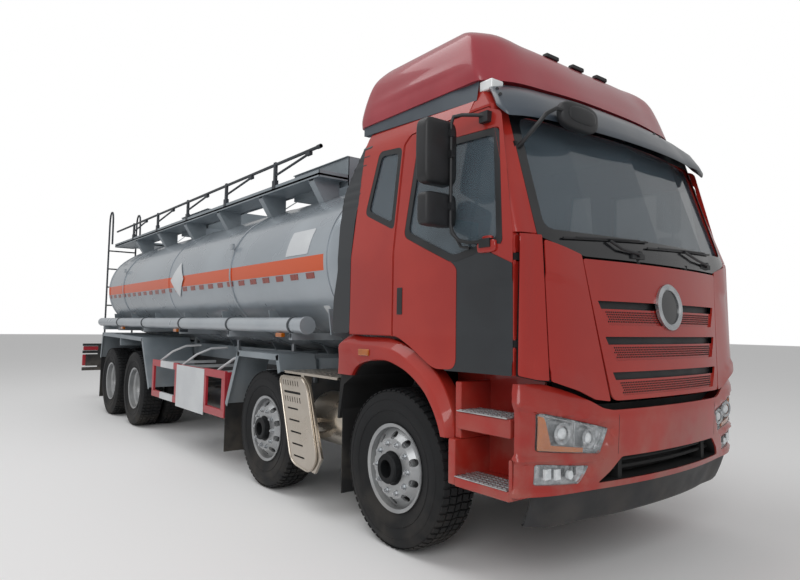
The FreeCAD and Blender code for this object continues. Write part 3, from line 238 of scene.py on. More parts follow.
def makeFinishes():
    finishes["cabRed"] = Finish("cabRed", "97231c", "a22b21", 0.34, 0.0, 1.4, Coat_Weight=0.55, Coat_Roughness=0.05, Specular_IOR_Level=0.25
                                ).grain(900, 0.00002).dust(0.5, 1.35, 0.35).done()
    shell = Finish("shellRed", "97231c", "a22b21", 0.36, 0.0, 1.4, Specular_IOR_Level=0.25)
    nose = (shell.x > 5.30) * (shell.z < 1.98)
    finishes["shellRed"] = shell.paint(nose, "101012", 0.6).grain(900, 0.00002).done()
    finishes["amber"] = Finish("amber", "b4610e", "a3560c", 0.16, 0.0, 9, Coat_Weight=0.8).grain(220, 0.0004).done()
    finishes["lampBowl"] = Finish("lampBowl", "8d9194", "b7babc", 0.22, 0.45, 30, Coat_Weight=0.6).grain(160, 0.0003).done()
    finishes["lampLens"] = Finish("lampLens", "c9cfd2", "dfe3e5", 0.06, 0.0, 30, Coat_Weight=1.0).grain(90, 0.0002).done()
    finishes["treadSteel"] = Finish("treadSteel", "a7a8aa", "c2c3c4", 0.34, 0.7, 30).grain(220, 0.0003).dust(
        0.4, 1.4, 0.35).done()
    finishes["fairingRed"] = Finish("fairingRed", "8f2b35", "9c363f", 0.36, 0.0, 1.4, Coat_Weight=0.5, Specular_IOR_Level=0.3,
                                    Coat_Roughness=0.06).grain(900, 0.00002).done()
    finishes["blackPlastic"] = Finish("blackPlastic", "17181a", "202124", 0.50, 0.0, 6).grain(1400, 0.00008
                                                                                          ).dust(0.2, 1.0, 0.12).done()
    finishes["matteDark"] = Finish("matteDark", "171b20", "1d2227", 0.42, 0.0, 3, Coat_Weight=0.25).grain(
        700, 0.00003).done()
    finishes["visorGrey"] = Finish("visorGrey", "333b44", "3c454f", 0.36, 0.0, 3, Coat_Weight=0.3).grain(
        800, 0.00003).done()
    finishes["deepBlack"] = Finish("deepBlack", "0b0b0c", "101112", 0.75, 0.0, 5).grain(500, 0.0001).done()
    finishes["railDark"] = Finish("railDark", "33373c", "3f444a", 0.45, 0.3, 5).grain(260, 0.0001).done()
    finishes["guardRed"] = Finish("guardRed", "a31f2c", "ad2733", 0.40, 0.0, 3, Coat_Weight=0.3).grain(200, 0.0001).dust(
        0.3, 1.1, 0.2).done()
    finishes["blankWhite"] = Finish("blankWhite", "c3c6c9", "cdd0d2", 0.42, 0.0, 3).grain(200, 0.00005).done()
    finishes["reflectorRed"] = Finish("reflectorRed", "7c2a1d", "8a3020", 0.30, 0.0, 12, Coat_Weight=0.5).grain(
        900, 0.0001).done()
    finishes["greyTrim"] = Finish("greyTrim", "3b434b", "454d55", 0.48, 0.0, 4).grain(900, 0.00005).done()
    finishes["glossBlack"] = Finish("glossBlack", "101114", "17181b", 0.22, 0.0, 4, Coat_Weight=0.5).grain(
        500, 0.00001).done()
    finishes["dash"] = Finish("dash", "3a3b3f", "45464a", 0.6).grain(1500, 0.0001).done()
    finishes["seatCloth"] = Finish("seatCloth", "33363c", "454a52", 0.85, Sheen_Weight=0.3).grain(700, 0.0004).done()
    tank = Finish("tankPaint", "959da4", "a2aab1", 0.30, 0.35, 1.1, Coat_Weight=0.45, Coat_Roughness=0.08)
    tank.grain(2.2, 0.0022, 1)
    stripe = tank.z.between(1.955, 2.09) * tank.x.between(-3.72, 3.28) * (abs(tank.y) > 0.6)
    finishes["tankPaint"] = tank.paint(stripe, "d4551f", 0.42).dust(1.2, 1.9, 0.25).done()
    finishes["tankAluminium"] = Finish("tankAluminium", "a5abb0", "b1b7bc", 0.34, 0.6, 2).grain(60, 0.0003).done()
    finishes["lidSteel"] = Finish("lidSteel", "a0a5a9", "b0b5b8", 0.33, 0.8, 3).grain(80, 0.0002).done()
    finishes["tubePaint"] = Finish("tubePaint", "a9b0b6", "b4babf", 0.33, 0.45, 2).grain(40, 0.0002).dust(
        1.2, 1.5, 0.2).done()
    finishes["greyPaint"] = Finish("greyPaint", "848d93", "929aa0", 0.42, 0.35, 2.5).grain(120, 0.0002).dust(
        0.3, 1.2, 0.4).done()
    finishes["flapRubber"] = Finish("flapRubber", "141415", "1b1b1c", 0.75).grain(300, 0.0003).dust(0.1, 0.9, 0.2).done()
    finishes["tyreRubber"] = Finish("tyreRubber", "131416", "1a1b1d", 0.66, 0.0, 5, Specular_IOR_Level=0.3).grain(
        260, 0.0002).dust(0.0, 0.6, 0.12).done()
    rim = Finish("rimPaint", "9a9c9e", "aaacad", 0.34, 0.55, 6).grain(200, 0.00015).dust(0.1, 0.9, 0.2)
    centre = None
    for x in wheelAxles.values():
        away, up = rim.x - x, rim.z - 0.538
        here = (away * away + up * up) < 0.0132
        centre = here if centre is None else centre + here
    finishes["rimPaint"] = rim.paint(centre, "1d1f21", 0.6).done()
    finishes["chassisPaint"] = Finish("chassisPaint", "1b1d20", "26292c", 0.50).grain(180, 0.0003).dust(
        0.2, 1.2, 0.5).done()
    finishes["castParts"] = Finish("castParts", "2b2c2e", "3a3a3b", 0.60, 0.3).grain(140, 0.0006).dust(
        0.2, 1.0, 0.5).done()
    finishes["stainless"] = Finish("stainless", "b9b0a4", "c4bcb1", 0.30, 0.9, 4).grain(90, 0.0001).done()
    finishes["steelBright"] = Finish("steelBright", "a8abae", "bdbfc1", 0.28, 0.85, 9).grain(300, 0.0001).done()
    finishes["guardPaint"] = Finish("guardPaint", "b9bcbe", "c9cbcc", 0.40, 0.1, 3).grain(100, 0.0001).dust(
        0.3, 1.0, 0.25).done()
    finishes["lampGlass"] = Finish("lampGlass", "e4e6e6", "d9dcdd", 0.08, 0.0, 8, Coat_Weight=1.0).grain(60, 0.0004
                                                                                                 ).done()
    finishes["paneGlass"] = Finish("paneGlass", "525f68", "5f6d76", 0.04, 0.0, 1.0, IOR=1.5, Coat_Weight=0.6).done()
    finishes["paneGlass"].node_tree.nodes["Principled BSDF"].inputs["Alpha"].default_value = 0.62
    finishes["clearCover"] = Finish("clearCover", "dde2e4", "e6eaec", 0.03, 0.0, 2.0, Coat_Weight=1.0).done()
    finishes["clearCover"].node_tree.nodes["Principled BSDF"].inputs["Alpha"].default_value = 0.05
    print("finishes made:", len(finishes))


nodeFinish = {
    "cab_paint": "cabRed", "black_plastic": "blackPlastic", "window_glass": "paneGlass", "lamp_glass": "lampGlass",
    "dash_plastic": "dash", "seat_fabric": "seatCloth", "tank_paint": "tankPaint", "grey_paint": "greyPaint",
    "tube_paint": "tubePaint", "flap_rubber": "flapRubber", "guard_paint": "guardPaint", "stainless": "stainless",
    "tank_aluminium": "tankAluminium", "lid_steel": "lidSteel", "tyre_rubber": "tyreRubber", "rim_paint": "rimPaint",
    "chassis_paint": "chassisPaint", "cast_parts": "castParts"}


def finishNodes():
    for part in frame["record"]["subparts"]:
        item = nodes[part["node"]]
        material = finishes[nodeFinish[part["material_slot"]]]
        for slot in item.material_slots:
            slot.material = material
        if not item.material_slots:
            item.data.materials.append(material)
    for node, finish in (("roof_fairing", "fairingRed"), ("cab_shell", "shellRed")):
        for slot in nodes[node].material_slots:
            slot.material = finishes[finish]
    print("frame nodes finished:", len(nodes))


def setStage():
    world = bpy.data.worlds.new("studio")
    world.use_nodes = True
    tree = world.node_tree
    tree.nodes.clear()
    path = addNode(tree, "ShaderNodeLightPath")
    seen = path.out("Is Camera Ray") + path.out("Is Glossy Ray") * 0.15 + path.out("Is Transmission Ray")
    strength = addNode(tree, "ShaderNodeMapRange", {"clamp": True},
                       {"Value": seen, "From Min": 0.0, "From Max": 1.0, "To Min": 0.50, "To Max": 1.0})
    glow = addNode(tree, "ShaderNodeBackground", None, {"Color": (1, 1, 1, 1), "Strength": strength})
    addNode(tree, "ShaderNodeOutputWorld", None, {"Surface": glow})
    scene.world = world
    paper = bpy.data.materials.new("paleFloor")
    paper.use_nodes = True
    shader = paper.node_tree.nodes["Principled BSDF"]
    shader.inputs["Base Color"].default_value = (0.88, 0.88, 0.88, 1)
    shader.inputs["Roughness"].default_value = 0.95
    shader.inputs["Specular IOR Level"].default_value = 0.1
    mesh = bpy.data.meshes.new("floor")
    mesh.from_pydata([(-70, -70, 0), (70, -70, 0), (70, 70, 0), (-70, 70, 0)], [], [(0, 1, 2, 3)])
    floor = bpy.data.objects.new("floor", mesh)
    mesh.materials.append(paper)
    scene.collection.objects.link(floor)
    addSoftLight("frontLight", (12, -9, 7), (3, 0, 1.5), 7, 480)
    addSoftLight("topLight", (0, -4, 11), (0, 0, 1), 9, 420)
    scene.view_settings.view_transform = "Standard"
    print("stage set")


# Mesh helpers. A piece is placed in its mesh, takes a finish, and rides on a body.
def addPiece(name, points, faces, finish, body, smooth=None):
    mesh = bpy.data.meshes.new(name)
    mesh.from_pydata([tuple(point) for point in points], [], faces)
    return settle(name, mesh, finish, body, smooth)


def settle(name, mesh, finish, body, smooth=None, turnFaces=True):
    work = bmesh.new()
    work.from_mesh(mesh)
    bmesh.ops.remove_doubles(work, verts=work.verts, dist=0.00002)
    if turnFaces:
        bmesh.ops.recalc_face_normals(work, faces=work.faces)
    work.to_mesh(mesh)
    work.free()
    item = bpy.data.objects.new(name, mesh)
    scene.collection.objects.link(item)
    if finish:
        mesh.materials.clear()
        mesh.materials.append(finishes[finish])
    if smooth is not None:
        smoothen(item, smooth)
    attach(item, body)
    return item


def smoothen(item, degrees):
    mesh = item.data
    mesh.polygons.foreach_set("use_smooth", [True] * len(mesh.polygons))
    mesh.set_sharp_from_angle(angle=math.radians(degrees))


class Shape:                     # points and faces gathered for one piece
    def __init__(self):
        self.points, self.faces = [], []

    def add(self, points, faces):
        start = len(self.points)
        self.points += [tuple(point) for point in points]
        self.faces += [[start + i for i in face] for face in faces]
        return self

    def box(self, low, high, turn=None, about=None):
        corners = [Vector((x, y, z)) for x in (low[0], high[0]) for y in (low[1], high[1]) for z in (low[2], high[2])]
        if turn is not None:
            about = Vector(about)
            corners = [about + turn @ (corner - about) for corner in corners]
        return self.add(corners, [(0, 1, 3, 2), (4, 6, 7, 5), (0, 4, 5, 1), (2, 3, 7, 6), (0, 2, 6, 4), (1, 5, 7, 3)])

    def rod(self, start, end, radius, sides=12, endRadius=None, caps=True):
        start, end = Vector(start), Vector(end)
        along = (end - start).normalized()
        across = along.orthogonal().normalized()
        other = along.cross(across)
        rings = []
        for centre, size in ((start, radius), (end, radius if endRadius is None else endRadius)):
            for i in range(sides):
                angle = math.tau * i / sides
                rings.append(centre + size * (math.cos(angle) * across + math.sin(angle) * other))
        faces = [(i, (i + 1) % sides, sides + (i + 1) % sides, sides + i) for i in range(sides)]
        if caps:
            faces += [tuple(range(sides))[::-1], tuple(range(sides, 2 * sides))]
        return self.add(rings, faces)

    def pipe(self, path, radius, sides=10):
        path = [Vector(point) for point in path]
        rings = []
        across = None
        for i, point in enumerate(path):
            along = (path[min(i + 1, len(path) - 1)] - path[max(i - 1, 0)]).normalized()
            across = along.orthogonal().normalized() if across is None else (across - across.dot(along) * along
                                                                           ).normalized()
            other = along.cross(across)
            rings += [point + radius * (math.cos(math.tau * k / sides) * across + math.sin(math.tau * k / sides) * other)
                      for k in range(sides)]
        faces = []
        for i in range(len(path) - 1):
            for k in range(sides):
                a, b = i * sides + k, i * sides + (k + 1) % sides
                faces.append((a, b, b + sides, a + sides))
        faces += [tuple(range(sides))[::-1], tuple(range(len(rings) - sides, len(rings)))]
        return self.add(rings, faces)

    def turned(self, rows, centre, side=1, sides=72, closed=True):   # rows of (radius, reach) about a line along Y
        points = []
        for i in range(sides):
            angle = math.tau * i / sides
            points += [(centre[0] + r * math.cos(angle), centre[1] + side * reach, centre[2] + r * math.sin(angle))
                       for r, reach in rows]
        count = len(rows)
        faces = []
        for i in range(sides):
            for k in range(count if closed else count - 1):
                a, b = i * count + k, i * count + (k + 1) % count
                c = (i + 1) % sides * count
                faces.append((a, b, c + (k + 1) % count, c + k))
        return self.add(points, faces)

    def strip(self, loops, closed=False):                # faces between loops of points of one length
        count = len(loops[0])
        points = [point for loop in loops for point in loop]
        faces = []
        for i in range(len(loops) - 1):
            for k in range(count if closed else count - 1):
                a, b = i * count + k, i * count + (k + 1) % count
                faces.append((a, b, b + count, a + count))
        return self.add(points, faces)

    def piece(self, name, finish, body, slot=None, smooth=None):
        return addPiece(name, self.points, self.faces, finish, body, smooth)


# Geometry trees: each is a class of repeated parts, with its own named inputs.
class Layout:
    def __init__(self, name, inputs):
        self.tree = bpy.data.node_groups.new(name, "GeometryNodeTree")
        face = self.tree.interface
        face.new_socket("Geometry", in_out="INPUT", socket_type="NodeSocketGeometry")
        for label, kind in inputs:
            face.new_socket(label, in_out="INPUT", socket_type=kind)
        face.new_socket("Geometry", in_out="OUTPUT", socket_type="NodeSocketGeometry")
        self.given = addNode(self.tree, "NodeGroupInput")

    def node(self, kind, settings=None, sockets=None, outlet=0):
        return addNode(self.tree, kind, settings, sockets, outlet)

    def end(self, geometry):
        real = self.node("GeometryNodeRealizeInstances", None, {0: geometry})
        coated = self.node("GeometryNodeSetMaterial", None, {0: real, "Material": self.given.out("Material")})
        self.node("NodeGroupOutput", None, {0: coated})
        return self.tree


def grow(name, base, tree, values, body, smooth=None, turnFaces=True):
    carrier = bpy.data.objects.new(name + "Seed", base)
    scene.collection.objects.link(carrier)
    growth = carrier.modifiers.new("grow", "NODES")
    growth.node_group = tree
    for entry in tree.interface.items_tree:
        if entry.in_out == "INPUT" and entry.name in values:
            growth[entry.identifier] = values[entry.name]
    graph = bpy.context.evaluated_depsgraph_get()
    mesh = bpy.data.meshes.new_from_object(carrier.evaluated_get(graph))
    carrier.modifiers.remove(growth)
    bpy.data.objects.remove(carrier)
    mesh.name = name
    return settle(name, mesh, None, body, smooth, turnFaces)


def pointCloud(points, aims=None):                 # a mesh of loose points, each with a direction for what stands on it
    mesh = bpy.data.meshes.new("spots")
    mesh.from_pydata([tuple(point) for point in points], [], [])
    if aims:
        record = mesh.attributes.new("aim", "FLOAT_VECTOR", "POINT")
        record.data.foreach_set("vector", [value for aim in aims for value in aim])
    return mesh


def boltTree():                                    # a nut with its flange and stud on every point, along its aim
    plan = Layout("bolts", [("Across", "NodeSocketFloat"), ("Height", "NodeSocketFloat"), ("Stud", "NodeSocketFloat"),
                            ("Material", "NodeSocketMaterial")])
    size, height, stud = (plan.given.out(key) for key in ("Across", "Height", "Stud"))
    lift = plan.node("ShaderNodeCombineXYZ", None, {"Z": height * 0.5})
    nut = plan.node("GeometryNodeMeshCylinder", None, {"Vertices": 6, "Radius": size * 0.56, "Depth": height})
    nut = plan.node("GeometryNodeTransform", None, {0: nut, "Translation": lift})
    flange = plan.node("GeometryNodeMeshCylinder", None, {"Vertices": 14, "Radius": size * 0.74, "Depth": height * 0.3})
    flange = plan.node("GeometryNodeTransform", None, {0: flange, "Translation": plan.node(
        "ShaderNodeCombineXYZ", None, {"Z": height * 0.15})})
    pin = plan.node("GeometryNodeMeshCylinder", None, {"Vertices": 10, "Radius": size * 0.32, "Depth": stud})
    pin = plan.node("GeometryNodeTransform", None, {0: pin, "Translation": plan.node(
        "ShaderNodeCombineXYZ", None, {"Z": stud * 0.5})})
    joined = plan.node("GeometryNodeJoinGeometry")
    for item in (nut, flange, pin):
        plan.tree.links.new(item.socket, joined.made.inputs[0])
    aim = plan.node("GeometryNodeInputNamedAttribute", {"data_type": "FLOAT_VECTOR"}, {"Name": "aim"})
    turn = plan.node("FunctionNodeAlignRotationToVector", {"axis": "Z"}, {"Vector": aim})
    spread = plan.node("GeometryNodeInstanceOnPoints", None,
                       {"Points": plan.given, "Instance": joined, "Rotation": turn})
    return plan.end(spread)


# Tyres: a moulded carcass turned from a table, with tread blocks set round it.
tyreSizes = {"radius": 0.538, "halfWidth": 0.150, "bead": 0.286, "grooveDepth": 0.012, "pitches": 60}
tyreRows = (             # radius, reach
    (0.284, -0.108), (0.296, -0.114), (0.330, -0.122), (0.372, -0.140), (0.410, -0.149), (0.452, -0.149),
    (0.486, -0.143), (0.504, -0.136), (0.516, -0.130), (0.523, -0.118), (0.526, -0.100), (0.526, 0.0))
wheelAxles = {1: 4.2, 2: 2.25, 3: -2.0, 4: -3.35}
wheelRows = {1: (1.040,), 2: (1.040,), 3: (1.072, 0.729), 4: (1.072, 0.729)}


def treadTree():                                   # one group of blocks turned round the axle, pitch by pitch
    plan = Layout("tread", [("Pitches", "NodeSocketInt"), ("Material", "NodeSocketMaterial")])
    count = plan.given.out("Pitches")
    line = plan.node("GeometryNodeMeshLine", {"mode": "OFFSET"}, {"Count": count, "Offset": (0, 0, 0)})
    index = plan.node("GeometryNodeInputIndex")
    turn = plan.node("ShaderNodeCombineXYZ", None, {"Y": index / count * math.tau})
    ring = plan.node("GeometryNodeInstanceOnPoints", None, {"Points": line, "Instance": plan.given, "Rotation": turn})
    return plan.end(ring)


def treadGroup():
    group = Shape()
    radius, step = tyreSizes["radius"], math.tau / tyreSizes["pitches"]
    ribs = ((-0.132, -0.092, 0.30, 0.000), (-0.080, -0.030, 0.16, 0.25), (-0.018, 0.018, 0.16, -0.25),
            (0.030, 0.080, 0.16, 0.25), (0.092, 0.132, 0.30, 0.000))
    for y0, y1, gap, skew in ribs:
        outer = abs(y0 + y1) > 0.2
        low, high = [], []
        for y, other in ((y0, y1), (y1, y0)):
            drop = 0.010 if outer and abs(y) > abs(other) else 0.0
            lean = skew * (1 if y > other else -1) * 0.5
            for share in ((-0.5 + gap / 2 + lean * 0.6), (0.5 - gap / 2 + lean * 0.6)):
                angle = share * step
                foot = radius - tyreSizes["grooveDepth"] - (0.006 if drop else 0.002)
                low.append((foot * math.sin(angle), y, foot * math.cos(angle)))
                high.append(((radius - drop) * math.sin(angle * 0.92), y * 0.995, (radius - drop) * math.cos(angle * 0.92)))
        points = [low[0], low[1], low[3], low[2], high[0], high[1], high[3], high[2]]
        group.add(points, [(4, 5, 6, 7), (0, 4, 7, 3), (1, 2, 6, 5), (0, 1, 5, 4), (3, 7, 6, 2)])
    mesh = bpy.data.meshes.new("treadGroup")
    mesh.from_pydata(group.points, [], group.faces)
    return mesh


def makeTyres():
    tree = treadTree()
    group = treadGroup()
    ringMesh = None
    rows = list(tyreRows) + [(r, -reach) for r, reach in tyreRows[-2::-1]]
    inner = [(0.300, 0.096), (0.500, 0.115), (0.500, -0.115), (0.300, -0.096)]
    for axle, x in wheelAxles.items():
        for name, side in (("left", 1), ("right", -1)):
            body = "wheel_%d_%s" % (axle, name)
            tyre = Shape()
            for middle in wheelRows[axle]:
                centre = (x, side * middle, tyreSizes["radius"])
                tyre.turned(rows + inner, centre, side, 84)
                for r, reach in ((0.388, 0.1465), (0.462, 0.1480)):
                    for way in (-1, 1):
                        bead = [(r - 0.004, way * (reach - 0.004)), (r, way * (reach + 0.002)), (r + 0.004, way * (reach - 0.003))]
                        tyre.turned(bead, centre, side, 60, closed=True)
            if ringMesh is None:
                ring = grow("treadRing", group, tree, {"Pitches": tyreSizes["pitches"],
                                                       "Material": finishes["tyreRubber"]}, "chassis")
                ringMesh = ring.data
                ringPoints = [vertex.co.copy() for vertex in ringMesh.vertices]
                ringFaces = [tuple(face.vertices) for face in ringMesh.polygons]
                bpy.data.objects.remove(ring)
            for middle in wheelRows[axle]:
                shift = Vector((x, side * middle, tyreSizes["radius"]))
                tyre.add([point + shift for point in ringPoints], ringFaces)
            piece = tyre.piece("tyre%d%s" % (axle, name.capitalize()), "tyreRubber", body, "tyre_rubber", 32)
            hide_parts("tyre_%d_%s" % (axle, name))
    print("tyres made")


# Wheels: nuts round the disc.
wheelSizes = {"nutCircle": 0.1675, "nuts": 10, "nutAcross": 0.030, "nutHeight": 0.020, "stud": 0.030}


def makeWheelNuts():
    tree = boltTree()
    for axle, x in wheelAxles.items():
        for name, side in (("left", 1), ("right", -1)):
            body = "wheel_%d_%s" % (axle, name)
            face = 1.040 + 0.136 if axle < 3 else 0.9005 + 0.014
            spots, aims = [], []
            for i in range(wheelSizes["nuts"]):
                angle = math.tau * i / wheelSizes["nuts"]
                spots.append((x + wheelSizes["nutCircle"] * math.cos(angle), side * (face - 0.0005),
                              0.538 + wheelSizes["nutCircle"] * math.sin(angle)))
                aims.append((0, side, 0))
            grow("wheelNuts%d%s" % (axle, name.capitalize()), pointCloud(spots, aims), tree,
                 {"Across": wheelSizes["nutAcross"], "Height": wheelSizes["nutHeight"], "Stud": wheelSizes["stud"],
                  "Material": finishes["steelBright"]}, body, 30)
    print("wheel nuts made")


# Cab skin. The outline at each level is rounded between its points, and every outer panel is laid on it.
cabLevels = (            # z, middle x, shoulder x, shoulder y, corner x, corner y, side x, half width
    (1.040, 5.597, 5.548, 0.701, 5.433, 1.152, 5.361, 1.240), (1.100, 5.593, 5.545, 0.700, 5.431, 1.150, 5.360, 1.240),
    (2.010, 5.525, 5.480, 0.680, 5.400, 1.120, 5.345, 1.240), (2.860, 5.255, 5.215, 0.640, 5.125, 1.080, 5.065, 1.145),
    (3.045, 5.115, 5.080, 0.600, 4.985, 0.980, 4.910, 1.070))


def atLevel(levels, z):
    z = min(max(z, levels[0][0]), levels[-1][0])
    for low, high in zip(levels, levels[1:]):
        if z <= high[0]:
            share = (z - low[0]) / (high[0] - low[0])
            return [a + share * (b - a) for a, b in zip(low[1:], high[1:])]


def skin(levels, t, z):  # t is 0 in the middle, 1 at the shoulder, 2 at the corner, 3 where the side starts
    middleX, shoulderX, shoulderY, cornerX, cornerY, sideX, width = atLevel(levels, z)
    if t >= 3:
        return sideX - (t - 3), width
    ring = ((middleX, 0.0), (shoulderX, shoulderY), (cornerX, cornerY), (sideX, width))
    steps = [math.dist(a, b) for a, b in zip(ring, ring[1:])]
    runs = [((b[0] - a[0]) / h, (b[1] - a[1]) / h) for a, b, h in zip(ring, ring[1:], steps)]
    lean = [(0.0, 1.0)]
    for i in (0, 1):
        h0, h1 = steps[i], steps[i + 1]
        lean.append(tuple((runs[i + 1][k] * h0 + runs[i][k] * h1) / (h0 + h1) for k in (0, 1)))
    lean.append((-1.0, 0.0))
    i = min(int(t), 2)
    u = t - i
    h = steps[i]
    a, b, c, d = 2 * u ** 3 - 3 * u * u + 1, u ** 3 - 2 * u * u + u, 3 * u * u - 2 * u ** 3, u ** 3 - u * u
    return tuple(a * ring[i][k] + b * h * lean[i][k] + c * ring[i + 1][k] + d * h * lean[i + 1][k] for k in (0, 1))


def tAcross(levels, y, z):                         # where the outline reaches a distance y from the middle
    low, high = 0.0, 3.0
    for _ in range(26):
        t = (low + high) / 2
        if skin(levels, t, z)[1] < y:
            low = t
        else:
            high = t
    return low


def skinPoint(levels, t, z, side, proud):          # a point on the outline's face, moved outward by proud
    x, y = skin(levels, t, z)
    ax, ay = skin(levels, t - 0.02 if t > 0.02 else 0.0, z)
    bx, by = skin(levels, t + 0.02, z)
    outX, outY = by - ay, ax - bx
    size = math.hypot(outX, outY) or 1.0
    return Vector((x + proud * outX / size, side * (y + proud * outY / size), z))


def onFront(proud=0.004, form=None, levels=cabLevels):   # for outlines drawn as seen from ahead: (y, z)
    def place(y, z, inset):
        more = form(abs(y), z) if form else 0.0
        return skinPoint(levels, tAcross(levels, abs(y), z), z, 1 if y >= 0 else -1, proud + more - inset)
    return place


def onSide(side, proud=0.004, form=None, levels=cabLevels):   # for outlines drawn as seen from the side: (x, z)
    def place(x, z, inset):
        width = atLevel(levels, z)[6]
        return Vector((x, side * (width + proud + (form(x, z) if form else 0.0) - inset), z))
    return place


def onCorner(side, startY, endX, proud=0.004, levels=cabLevels):   # share 0 at startY(z), 1 at endX(z)
    def place(share, z, inset):
        first = tAcross(levels, startY(z), z)
        sideX = atLevel(levels, z)[5]
        last = 3.0 + sideX - endX(z)
        return skinPoint(levels, first + share * (last - first), z, side, proud - inset)
    return place


def rounded(outline, radius, steps=5):             # an outline with its corners turned into arcs
    out = []
    count = len(outline)
    radii = radius if isinstance(radius, (list, tuple)) else [radius] * count
    for i in range(count):
        back, here, ahead = (Vector(outline[(i + k) % count]) for k in (-1, 0, 1))
        a, b = (back - here), (ahead - here)
        reach = min(radii[i], a.length * 0.45, b.length * 0.45)
        if reach < 1e-5:
            out.append(tuple(here))
            continue
        start, end = here + a.normalized() * reach, here + b.normalized() * reach
        for k in range(steps + 1):
            u = k / steps
            out.append(tuple((1 - u) ** 2 * start + 2 * u * (1 - u) * here + u * u * end))
    return out


def widened(outline, gap):                         # an outline moved outward by gap
    count = len(outline)
    area = sum(outline[i][0] * outline[(i + 1) % count][1] - outline[(i + 1) % count][0] * outline[i][1]
               for i in range(count))
    way = 1 if area > 0 else -1
    out = []
    for i in range(count):
        back, here, ahead = (Vector(outline[(i + k) % count]) for k in (-1, 0, 1))
        a, b = (here - back).normalized(), (ahead - here).normalized()
        n1, n2 = Vector((a.y, -a.x)) * way, Vector((b.y, -b.x)) * way
        out.append(tuple(here + (n1 + n2) * gap / max(0.35, 1 + n1.dot(n2))))
    return out


def isInside(point, loops):
    x, y = point
    inside = False
    for loop in loops:
        for (ax, ay), (bx, by) in zip(loop, loop[1:] + loop[:1]):
            if (ay > y) != (by > y) and x < (bx - ax) * (y - ay) / (by - ay) + ax:
                inside = not inside
    return inside


def fillSheet(loops, spacing):                     # a flat net of triangles inside the first loop, outside the others
    points, edges, dense = [], [], []
    for loop in loops:
        ring = []
        for a, b in zip(loop, loop[1:] + loop[:1]):
            count = max(1, math.ceil(math.dist(a, b) / spacing))
            ring += [(a[0] + (b[0] - a[0]) * k / count, a[1] + (b[1] - a[1]) * k / count) for k in range(count)]
        start = len(points)
        points += ring
        edges += [(start + i, start + (i + 1) % len(ring)) for i in range(len(ring))]
        dense.append(ring)
    low = [min(p[k] for p in dense[0]) for k in (0, 1)]
    high = [max(p[k] for p in dense[0]) for k in (0, 1)]
    rim = list(points)
    for i in range(1, int((high[0] - low[0]) / spacing) + 1):
        for k in range(1, int((high[1] - low[1]) / spacing) + 1):
            spot = (low[0] + i * spacing, low[1] + k * spacing)
            if isInside(spot, dense) and min(abs(spot[0] - p[0]) + abs(spot[1] - p[1]) for p in rim) > spacing * 0.45:
                points.append(spot)
    made = delaunay_2d_cdt([Vector(p) for p in points], edges, [], 0, 1e-6)
    corners, faces = made[0], made[2]
    kept = [face for face in faces if isInside(sum((corners[i] for i in face), Vector((0, 0))) / 3, dense)]
    return [tuple(corner) for corner in corners], kept


def panel(name, loops, place, finish, body, spacing=0.04, depth=0.004, edge=0.0015, smooth=35):
    flat, faces = fillSheet(loops, spacing)
    count = len(flat)
    points = [place(a, b, 0.0) for a, b in flat] + [place(a, b, depth) for a, b in flat]
    seen = {}
    for face in faces:
        for a, b in zip(face, face[1:] + face[:1]):
            seen[(a, b)] = True
    walls = [(a, b, b + count, a + count) for a, b in seen if (b, a) not in seen]
    used = {i for face in faces for i in face}
    order = {old: new for new, old in enumerate(sorted(used | {i + count for i in used}))}
    solid = [tuple(face) for face in faces] + [tuple(i + count for i in face)[::-1] for face in faces] + walls
    piece = addPiece(name, [points[i] for i in sorted(order)], [[order[i] for i in face] for face in solid],
                     finish, body, smooth)
    if edge:
        roundEdges(piece, edge)
    return piece


def roundEdges(piece, width, segments=2, angle=40):
    soften = piece.modifiers.new("soften", "BEVEL")
    soften.width, soften.segments = width, segments
    soften.limit_method = "ANGLE"
    soften.angle_limit = math.radians(angle)
    soften.harden_normals = True
    soften.use_clamp_overlap = True


cabFront = {"flapGap": 0.006, "sideSeam": 1.080, "badgeRadius": 0.148, "badgeZ": 1.652}
flapOutline = [(-0.795, 1.912), (0.795, 1.912), (0.640, 1.100), (-0.640, 1.100)]
recessRows = ((1.672, 1.532), (1.464, 1.326), (1.260, 1.126))      # top and low of the three slots with their bands
doorX = lambda z: 5.364 - max(0.0, z - 2.03) * 0.224


def flapEdge(z):
    return 0.640 + (z - 1.100) * (0.795 - 0.640) / 0.812


